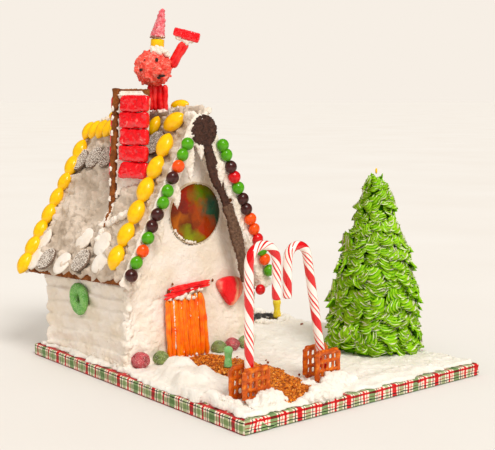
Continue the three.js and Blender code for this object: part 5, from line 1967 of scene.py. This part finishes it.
def figure_hand(rng):
    """Two lengths of jelly held up by the arm, with icing under them."""
    centre = middle("figure_hand")
    turn = Matrix.Rotation(math.radians(16), 3, "Y")
    axes = np.array(turn.transposed()) @ FIGURE_AXES
    short = block((-14.3, -5.6, -4.2), (-4.0, 5.2, 4.6), 1.6, axes, centre, 3)
    long = block((-5.2, -5.8, -5.2), (14.3, 5.8, 5.2), 1.8, axes, centre, 3)
    hand = fused("figure_hand", [short, long], 0.75, rounds=1)
    roughen(hand, 0.5, 6, 77, torn=False)
    piece("figure_hand", hand, RED_JELLY_WITH_PAINTED_HIGHLIGHTS, ["figure_hand"])
    under = []
    for x, z in (
        (-9, -5.5), (-5.5, -6.2), (-2.5, -6.4), (1, -6.6), (4.5, -6.0), (7, -5.4), (-1, -8.6), (2.4, -8.8)
    ):
        under.append(blob(rng, turned(x, -2.4, z, axes) + centre, 4.4))
    piece("hand_icing", fused("hand_icing", under, 0.7, 0.7, 3, 16), ICING)


def figure_dots():
    """Plain dots and a smudge pressed into the frosting: (along, up, width, height)."""
    dots = (
        (5.4, 8.2, 3.6, 4.6), (-12.0, -2.6, 3.8, 3.4), (10.6, -9.0, 7.6, 3.0), (7.2, -11.0, 3.6, 2.8),
        (-7.8, 8.0, 1.8, 1.8)
    )
    spots = []
    for along, up, wide, tall in dots:
        depth = math.sqrt(max(0.0, (0.94 * HEAD_RADIUS) ** 2 - along**2 - up**2))
        place = HEAD_CENTRE + turned(along, -depth - 0.6, up, FIGURE_AXES)
        spots.append(lumpy(ball(place, (wide, 3.6, tall), FIGURE_AXES, rings=8, around=12), 0.4, 2.5, 6))
    built("figure_dots", spots, DARK_SUGAR)


# ---------- canes ----------
STRIPE_LENGTH = 46  # of the cane to one turn of its stripes
HOOKS = {1: 16.7, -1: 12.9}  # radius of the hook of the left and the right cane


def cane_path(node, sign):
    """Centre line of a candy cane from its foot to the tip of its hook."""
    low, high = box(node)
    thick = (high - low)[1] / 2
    y = (low[1] + high[1]) / 2
    points = vertices(node)
    foot = points[points[:, 2] < low[2] + 2.5].mean(0)
    far = high[0] - thick if sign > 0 else low[0] + thick
    at_end = np.abs(points[:, 0] - far) < thick + 1
    off_foot = np.abs(points[:, 0] - foot[0]) > 20
    tip = points[at_end & off_foot & (points[:, 2] < high[2] - 20)]
    tip = tip[tip[:, 2] < tip[:, 2].min() + 2].mean(0)
    hook = HOOKS[sign]
    crown = np.array((tip[0] - sign * hook, y, high[2] - thick - hook))
    shoulder = np.array((crown[0] - sign * hook, y, crown[2]))
    lean = math.atan2(shoulder[0] - foot[0], shoulder[2] - foot[2])
    line = [foot + (shoulder - foot) * t for t in np.linspace(0, 0.985, 60)]
    for a in np.linspace(-sign * lean, math.pi, 30):
        line.append(crown + np.array((-sign * hook * math.cos(a), 0, hook * math.sin(a))))
    line += [np.array((tip[0], y, crown[2] + (tip[2] - crown[2]) * t)) for t in np.linspace(0.08, 1, 16)]
    return np.array(line), thick


def canes():
    for node, sign, start in (("cane_left", 1, 0.05), ("cane_right", -1, 0.62)):
        line, thick = cane_path(node, sign)
        sides = 20
        s, path = evenly(line, 150)
        path = np.stack(
            [np.convolve(np.pad(path[:, k], 3, "edge"), np.ones(7) / 7, "valid") for k in range(3)], -1
        )
        ends = np.minimum(s, s[-1] - s)
        radii = thick * np.sqrt(np.clip(1 - (1 - np.clip(ends / 3.0 + 0.12, 0, 1)) ** 2, 0, 1))
        points, faces = tube(path, radii, sides)
        mesh = to_mesh(node + "_sugar", points, faces)
        mapping = mesh.uv_layers.new(name="wind")
        for polygon in mesh.polygons:
            columns = [mesh.loops[k].vertex_index % sides for k in polygon.loop_indices]
            wraps = len(columns) == 4 and 0 in columns and sides - 1 in columns
            for loop, column in zip(polygon.loop_indices, columns):
                row = mesh.loops[loop].vertex_index // sides
                around = (column + sides if wraps and column == 0 else column) / sides
                mapping.data[loop].uv = (around, start + s[row] / STRIPE_LENGTH)
        piece(node + "_sugar", mesh, CANE, [node])


# ---------- pretzels and their icing ----------
def pretzels():
    """Square lattice pretzels: rounded bars baked together."""
    for k, node in enumerate(
        ("pretzel_left_front", "pretzel_left_back", "pretzel_right_front", "pretzel_right_back")
    ):
        low, high = box(node)
        size, y, thick = (high - low)[0], (low + high)[1] / 2, (high - low)[1]
        rng = random.Random(60 + k)
        bars, edge = [], 2.7
        inner = size - 2 * edge
        for i in range(5):
            x, rim = low[0] + edge + inner * i / 4, i in (0, 4)
            span = (low[2] + edge, high[2] - edge)
            bars.append(pretzel_bar(rng, lambda stray, s: (x + stray, y, s), span, rim, 2.9 if rim else 1.75))
        for i in range(4):
            z, rim = low[2] + edge + inner * i / 3, i in (0, 3)
            span = (low[0] + edge, high[0] - edge)
            bars.append(pretzel_bar(rng, lambda stray, s: (s, y, z + stray), span, rim, 2.9 if rim else 1.9))
        mesh = fused(node + "_crust", bars, 0.62, rounds=2)
        count = len(mesh.vertices)
        places = np.zeros(count * 3)
        mesh.vertices.foreach_get("co", places)
        places = places.reshape(-1, 3)
        places[:, 1] = y * MM + (places[:, 1] - y * MM) * thick / 5.4
        mesh.vertices.foreach_set("co", places.ravel())
        roughen(mesh, 0.35, 4, 61 + k, torn=False)
        piece(node + "_crust", mesh, PRETZEL, [node])


def pretzel_bar(rng, point, span, rim, radius):
    """Bar a little off straight; point gives a place for its stray and its distance along."""
    cut = 1.4 if rim else 0
    steps = np.linspace(span[0] + cut - 0.6, span[1] - cut + 0.6, 9)
    path = [point(rng.uniform(-0.25, 0.25), s) for s in steps]
    return tube(path, [radius * rng.uniform(0.93, 1.1) for _ in steps], 10)


def heaped_icing(name, lumps, seed):
    """Icing dabbed on in lumps: (x, y, height over the snow, size)."""
    rng = random.Random(seed)
    parts = []
    for x, y, z, size in lumps:
        parts.append(blob(rng, (x, y, FLOOR + z), size, 0.2))
        for _ in range(2):
            dx, dy = rng.uniform(-0.4, 0.4) * size, rng.uniform(-0.4, 0.4) * size
            spot = (x + dx, y + dy, FLOOR + z + rng.uniform(-0.1, 0.3) * size)
            parts.append(blob(rng, spot, size * 0.55, 0.3))
    piece(name, fused(name, parts, 1.0, 1.5, 8, seed, rounds=4), SNOW)


def pretzel_icing():
    left, left_back = box("pretzel_left_front"), box("pretzel_left_back")
    right = box("pretzel_right_front")
    lumps = []
    for dx, dy, z, s in (
        (6, -7, 2, 11), (15, -8, 4, 15), (23, -8, 5, 15), (31, -6, 4, 13), (37, -4, 2, 10), (2, -10, 0, 10),
        (11, -14, 0, 14), (24, -14, 0, 14), (34, -11, 0, 12), (-4, 3, 1, 9), (-7, 9, 1, 10)
    ):
        lumps.append((left[0][0] + dx, left[0][1] + dy, z, s))
    for dx, dy, z, s in ((-3, -2, 2, 9), (-6, 5, 1, 10)):
        lumps.append((left_back[0][0] + dx, left_back[0][1] + dy, z, s))
    heaped_icing("icing_at_left_pretzels", lumps, 3)
    lumps = []
    for dx, dy, z, s in (
        (7, -6, 3, 12), (15, -7, 6, 15), (23, -7, 5, 15), (31, -5, 3, 13), (38, -2, 1, 12),
        (12, -13, 0, 14), (26, -13, 0, 15), (38, -9, 0, 13), (-5, 2, 1, 10), (-9, 6, 0, 10), (-3, -6, 0, 9)
    ):
        lumps.append((right[0][0] + dx, right[0][1] + dy, z, s))
    heaped_icing("icing_at_right_pretzels", lumps, 5)
    # The dabs between the path and the board's front edge.
    lumps = [
        (-79, -186, 1, 12), (-70, -184, 3, 15), (-60, -182, 4, 15), (-50, -181, 4, 15), (-41, -181, 2, 13),
        (-55, -188, 0, 12), (-46, -187, 0, 12), (-66, -189, -1, 11)
    ]
    heaped_icing("icing_at_front_edge", lumps, 7)


# ---------- tree ----------
def leaf(name, seed):
    """Piped leaf of unit size: X across, Y outwards, Z up to the stem; rippled in arcs by the nozzle."""
    rows, columns, ripples = 20, 5, 5.5
    rng = random.Random(seed)
    points, crest = [], []
    bend, curl = rng.uniform(-0.2, 0.2), rng.uniform(0.3, 1.0)
    for i in range(rows + 1):
        t = i / rows
        taper = 1.0 if t < 0.6 else max(0.0, 1 - ((t - 0.6) / 0.42) ** 2) ** 0.42
        wide = 0.5 * min(1.0, 0.4 + 1.7 * t) * taper
        for j in range(columns + 1):
            s = 2 * j / columns - 1
            phase = ripples * (t + 0.05 * s * s) + 0.1
            rise = 1 - abs(2 * (phase - math.floor(phase)) - 1)
            fringe = 1 + 0.5 * (rise - 0.4) * s * s
            x = s * wide * fringe + bend * t * t
            pleat = 0.85 * rise * (0.4 + 0.6 * min(1, 3 * t)) * (1 - 0.3 * s * s)
            y = 0.15 + pleat + curl * t * t + rng.uniform(-0.05, 0.05) - 0.3 * s * s * t
            z = 0.5 - t + 0.3 * s * s * (0.3 + 0.7 * t) - 0.04 * rise
            points.append((x, y, z))
            # The crest value is high on each ripple's ridge and low in its troughs; the green frosting turns it
            # into painted highlight on the ridges and painted shade in the troughs. The stem point gets 0, the
            # darkest painted shade.
            crest.append(0.1 + 0.85 * rise**2 + 0.2 * s * s * rise)
    faces = []
    for i in range(rows):
        for j in range(columns):
            a = i * (columns + 1) + j
            faces.append((a, a + 1, a + columns + 2, a + columns + 1))
    rim = [j for j in range(columns + 1)] + [(i + 1) * (columns + 1) - 1 for i in range(1, rows + 1)]
    rim += [rows * (columns + 1) + j for j in range(columns - 1, -1, -1)]
    rim += [i * (columns + 1) for i in range(rows - 1, 0, -1)]
    stem = len(points)
    points.append((0, -0.35, 0.12))
    crest.append(0.0)
    for k, a in enumerate(rim):
        faces.append((rim[(k + 1) % len(rim)], a, stem))
    return template(name, points, faces, np.array(crest))


def tree():
    """Cone piped all over with leaves in rings, each ring overlapping the one below."""
    low, high = box("tree")
    height = high[2] - low[2]
    points = vertices("tree")
    centre = points[np.argmax(points[:, 2])]
    reach = np.hypot(points[:, 0] - centre[0], points[:, 1] - centre[1])
    levels = np.linspace(0, 1, 12)
    outer = [reach[np.abs((points[:, 2] - low[2]) / height - t) < 0.06].max() for t in levels]

    def radius(t):
        return max(1.5, float(np.interp(t, levels, outer)) - 5.0)

    core = tube(
        [(centre[0], centre[1], low[2] + height * 0.96 * t) for t in np.linspace(0, 1, 30)],
        [radius(t) for t in np.linspace(0, 1, 30)], 36
    )
    built("tree_core", [core], PIPED_GREEN_WITH_PAINTED_LIGHT, ["tree"])
    rng = random.Random(33)
    shapes = [leaf(f"piped_leaf_{k}", 5 + k) for k in range(4)]
    spots = [[] for _ in shapes]
    level, ring = -0.02, 0
    while level < 0.94:
        width, length = 23 - 10 * level, 22 - 8 * level
        count = max(6, round(2 * math.pi * (radius(level) + 2) / (width * 0.5)))
        for k in range(count):
            a = 2 * math.pi * (k + 0.5 * (ring % 2) + rng.uniform(-0.3, 0.3)) / count
            t = float(np.clip(level + rng.uniform(-0.03, 0.03), 0.005, 0.95))
            out = Vector((math.cos(a), math.sin(a), 0))
            sway = Vector((-math.sin(a), math.cos(a), 0)) * rng.gauss(0, 0.25)
            normal = (out + sway + Vector((0, 0, rng.uniform(-0.3, 0.55)))).normalized()
            across = Vector((0, 0, 1)).cross(normal).normalized()
            up = normal.cross(across)
            if up.z < 0:
                up = -up
            roll = Matrix.Rotation(math.radians(rng.gauss(0, 34)), 3, normal)
            across, up = roll @ across, roll @ up
            if across.cross(normal).dot(up) < 0:
                across = -across
            push = radius(t) + rng.uniform(-1.0, 2.5)
            place = (centre[0] + out.x * push, centre[1] + out.y * push, low[2] + 8 + height * 0.95 * t)
            size = (width * rng.uniform(0.7, 1.2), rng.uniform(5, 8.5), length * rng.uniform(0.75, 1.2))
            spots[rng.randrange(len(shapes))].append((place, (across, normal, up), size))
        level += 0.056
        ring += 1
    for k in range(6):
        a = 2 * math.pi * k / 6 + 0.4 * (k % 2)
        out = Vector((math.cos(a), math.sin(a), 0.35)).normalized()
        across = Vector((-math.sin(a), math.cos(a), 0))
        place = (centre[0] + 3.5 * math.cos(a), centre[1] + 3.5 * math.sin(a), high[2] - 12 + 3 * (k % 2))
        spots[k % len(shapes)].append((place, (across, out, across.cross(out)), (9, 4, 12)))
    for k, shape in enumerate(shapes):
        placed(f"tree_leaves_{k + 1}", spots[k], shape, PIPED_GREEN_WITH_PAINTED_LIGHT)
    tip = ball((centre[0], centre[1], high[2] + 1.0), (2.6, 2.6, 6.5), rings=8, around=10)
    built("tree_tip", [tip], YELLOW_SHELL)


# ---------- small sweets on the ground ----------
def gumdrops():
    for k in range(1, 6):
        low, high = box(f"gumdrop_{k}")
        centre, size = (low + high) / 2, high - low

        def dome(t):
            return (1 - abs(t) ** 3.4) ** 0.34 * (1 - 0.1 * t)

        drop = ball(
            centre + np.array((0, -0.6, -2.2)), (size[0], size[2] * 0.8, size[1]),
            [(1, 0, 0), (0, 0, 1), (0, -1, 0)], rings=16, around=26, profile=dome
        )
        colour_of = SPICE_RED if k in (1, 4) else SPICE_GREEN
        built(
            f"spice_drop_{k}", [lumpy(drop, 0.7, 7, k)], colour_of,
            [f"gumdrop_{k}"]
        )


def gummies():
    """Sour jellies standing on end: a plain peg with a wide head, a waist and a foot."""
    profile = [
        (0.0, 0.8), (0.06, 0.95), (0.2, 0.86), (0.45, 0.72), (0.62, 0.82), (0.78, 1.0), (0.9, 0.92),
        (0.97, 0.62), (1.0, 0.25)
    ]
    for node, material, slot, lean in (
        ("gummy_green", SOUR_GREEN, "sugared_green", 0.6),
        ("gummy_yellow", SOUR_YELLOW, "yellow_shell", -0.8)
    ):
        low, high = box(node)
        centre, size = (low + high) / 2, high - low
        levels = np.linspace(0, 1, 22)
        reach = np.interp(levels, [p[0] for p in profile], [p[1] for p in profile]) * size[0] / 2
        path = [(centre[0] + lean * t, centre[1], low[2] + size[2] * t) for t in levels]
        part = tube(path, reach, 18, section=lambda a: 1 - 0.12 * math.sin(a) ** 2)
        built(node + "_jelly", [lumpy(part, 0.35, 4, 9)], material, [node])


def pond():
    """Crumpled foil in a rim of icing, with a lump of icing beside the yellow sweet."""
    low, high = box("pond")
    centre, reach = (low + high) / 2, (high - low)[0] / 2
    rings, around = 22, 72
    radial, turn = np.meshgrid(
        np.linspace(0.02, 1, rings + 1), np.linspace(0, 2 * math.pi, around, endpoint=False), indexing="ij"
    )
    x, y = centre[0] + reach * radial * np.cos(turn), centre[1] + reach * radial * np.sin(turn)
    spots = np.stack([x * 0.6, y * 1.6, 0 * x], -1)
    fold = np.abs(grain(spots, 8, 3, 71))
    top = low[2] + 1.1 + 2.6 * fold * (1 - radial**6)
    points = np.concatenate(
        [np.stack([x, y, top], -1).reshape(-1, 3), np.stack([x[-1], y[-1], 0 * x[-1] + low[2] - 0.6], -1)]
    )
    mesh = to_mesh("pond_foil", points, capped_faces(rings + 1, around))
    piece("pond_foil", mesh, FOIL, ["pond"], smooth=False)
    rng = random.Random(41)
    path = [
        (centre[0] + (reach + 1) * math.cos(a), centre[1] + (reach + 1) * math.sin(a), low[2] + 0.6)
        for a in np.linspace(0, 2 * math.pi, 60)
    ]
    rim = bead(rng, path, 6.5, 0.5, 0.3)
    for dx, dy, s in ((14, -21, 9), (21, -22, 11), (27, -18, 8), (8, -25, 8)):
        rim.append(blob(rng, (centre[0] + dx, centre[1] + dy, low[2] + 1.2), s))
    piece("pond_rim", fused("pond_rim", rim, 1.1, 1.0, 6, 8), SNOW)


def loose_bits():
    """Stray crumbs and chips on the icing round the door and on the snow."""
    rng = random.Random(77)
    parts = []
    spots = [
        (131, 56, FLOOR + 1.2, 3.2), (-22, -60, FLOOR + 1, 2.2), (-18, -52, FLOOR + 1, 1.8),
        (-92, -96, FLOOR + 2, 1.8), (-30, -118, FLOOR + 1, 2.2), (-38, -160, FLOOR + 1, 2.0)
    ]
    spots += [
        (rng.uniform(-96, -28), rng.uniform(-176, -10), FLOOR + 1.4, rng.uniform(1.2, 2.2))
        for _ in range(30)
    ]
    for x, y, z, size in spots:
        turn = Matrix.Rotation(rng.uniform(0, 3), 3, "Z") @ Matrix.Rotation(rng.uniform(0, 3), 3, "X")
        half = np.array((size / 2, size / 2, size / 3))
        parts.append(block(-half, half, size / 8, np.array(turn), (x, y, z), 1))
    built("stray_crumbs", parts, TOFFEE, smooth=False)
    # Dark broken gingerbread at the lintel's left end and in the gable's upper corner.
    dark = []
    for x, y, z, s in (
        (-98.5, 12.0, 92, 4.0), (-97.6, 12.4, 86.5, 3.4), (-97.8, 12.6, 80, 2.6), (-39.5, 12.8, 97, 2.6),
        (-92.5, 12.8, 98.5, 2.0)
    ):
        dark.append(lumpy(ball((x, y, z), (s * 0.8, 3, s * 1.4), rings=8, around=10), 0.5, 2, 3))
    built("baked_bits", dark, GINGER)


# ---------- studio ----------
def studio():
    """Bright paper sweep below a dimmer room, a soft key from high in front, and the camera."""
    sides = 96
    turns = [2 * math.pi * k / sides for k in range(sides)]
    ring = [(SWEEP_REACH * math.cos(a), SWEEP_REACH * math.sin(a), SWEEP_LEVEL) for a in turns]
    mesh = bpy.data.meshes.new("paper_floor")
    mesh.from_pydata([tuple(Vector(p) * MM) for p in ring], [], [tuple(range(sides))])
    mesh.materials.append(backdrop())
    floor = bpy.data.objects.new("paper_floor", mesh)
    scene.collection.objects.link(floor)

    # The sweep is lit like the floor, the room round it is darker, and little of it is mirrored.
    world = bpy.data.worlds.new("studio_air")
    scene.world = world
    world.use_nodes = True
    tree = world.node_tree
    tree.nodes.clear()
    ray = add(tree, "ShaderNodeLightPath")
    lit = mix(tree, "MIX", ray.outputs["Is Glossy Ray"], ROOM_LIGHT, ROOM_SHEEN)
    seen = mix(tree, "MIX", ray.outputs["Is Camera Ray"], lit, tone(SWEEP))
    air = add(tree, "ShaderNodeBackground", {"Color": seen})
    add(tree, "ShaderNodeOutputWorld", {"Surface": air.outputs[0]})

    key = bpy.data.lights.new("key", "SUN")
    key.energy = KEY_STRENGTH
    key.angle = math.radians(KEY_SPREAD)
    key.color = KEY_COLOUR
    lamp = bpy.data.objects.new("key", key)
    scene.collection.objects.link(lamp)
    lamp.rotation_euler = Vector(KEY_FROM).to_track_quat("Z", "Y").to_euler()

    lens = bpy.data.cameras.new("camera")
    lens.sensor_width = SENSOR
    lens.lens = LENS
    lens.clip_end = 200
    camera = bpy.data.objects.new("camera", lens)
    camera.location = Vector(CAMERA_PLACE) * MM
    camera.rotation_euler = [math.radians(a) for a in CAMERA_TURN]
    scene.collection.objects.link(camera)
    scene.camera = camera


SWEEP = "#f7efe5"
ROOM_LIGHT = (0.86, 0.81, 0.745, 1.0)
ROOM_SHEEN = (0.07, 0.066, 0.062, 1.0)
KEY_STRENGTH = 1.9
KEY_SPREAD = 22  # degrees across
KEY_COLOUR = (1.0, 0.97, 0.93)
KEY_FROM = (-0.05, -0.31, 0.34)
SWEEP_REACH, SWEEP_LEVEL = 40000.0, -0.4
SENSOR, LENS = 36, 77.48
CAMERA_PLACE = (-732.9, -896.2, 298.5)
CAMERA_TURN = (82.969, 0, -39.243)  # degrees about X, Y and Z


for make in (
    board, snow, crumb_path, walls, roofs, rake_icing, ridge_and_joints, almonds, round_sweets, wafers,
    window, door, lintel, fruit_slice, sugar_ring, chocolate_trim, chimney, figure, canes, pretzels,
    pretzel_icing, tree, gumdrops, gummies, pond, loose_bits, studio,
):
    make()
for item in TEMPLATES:
    bpy.data.objects.remove(item)
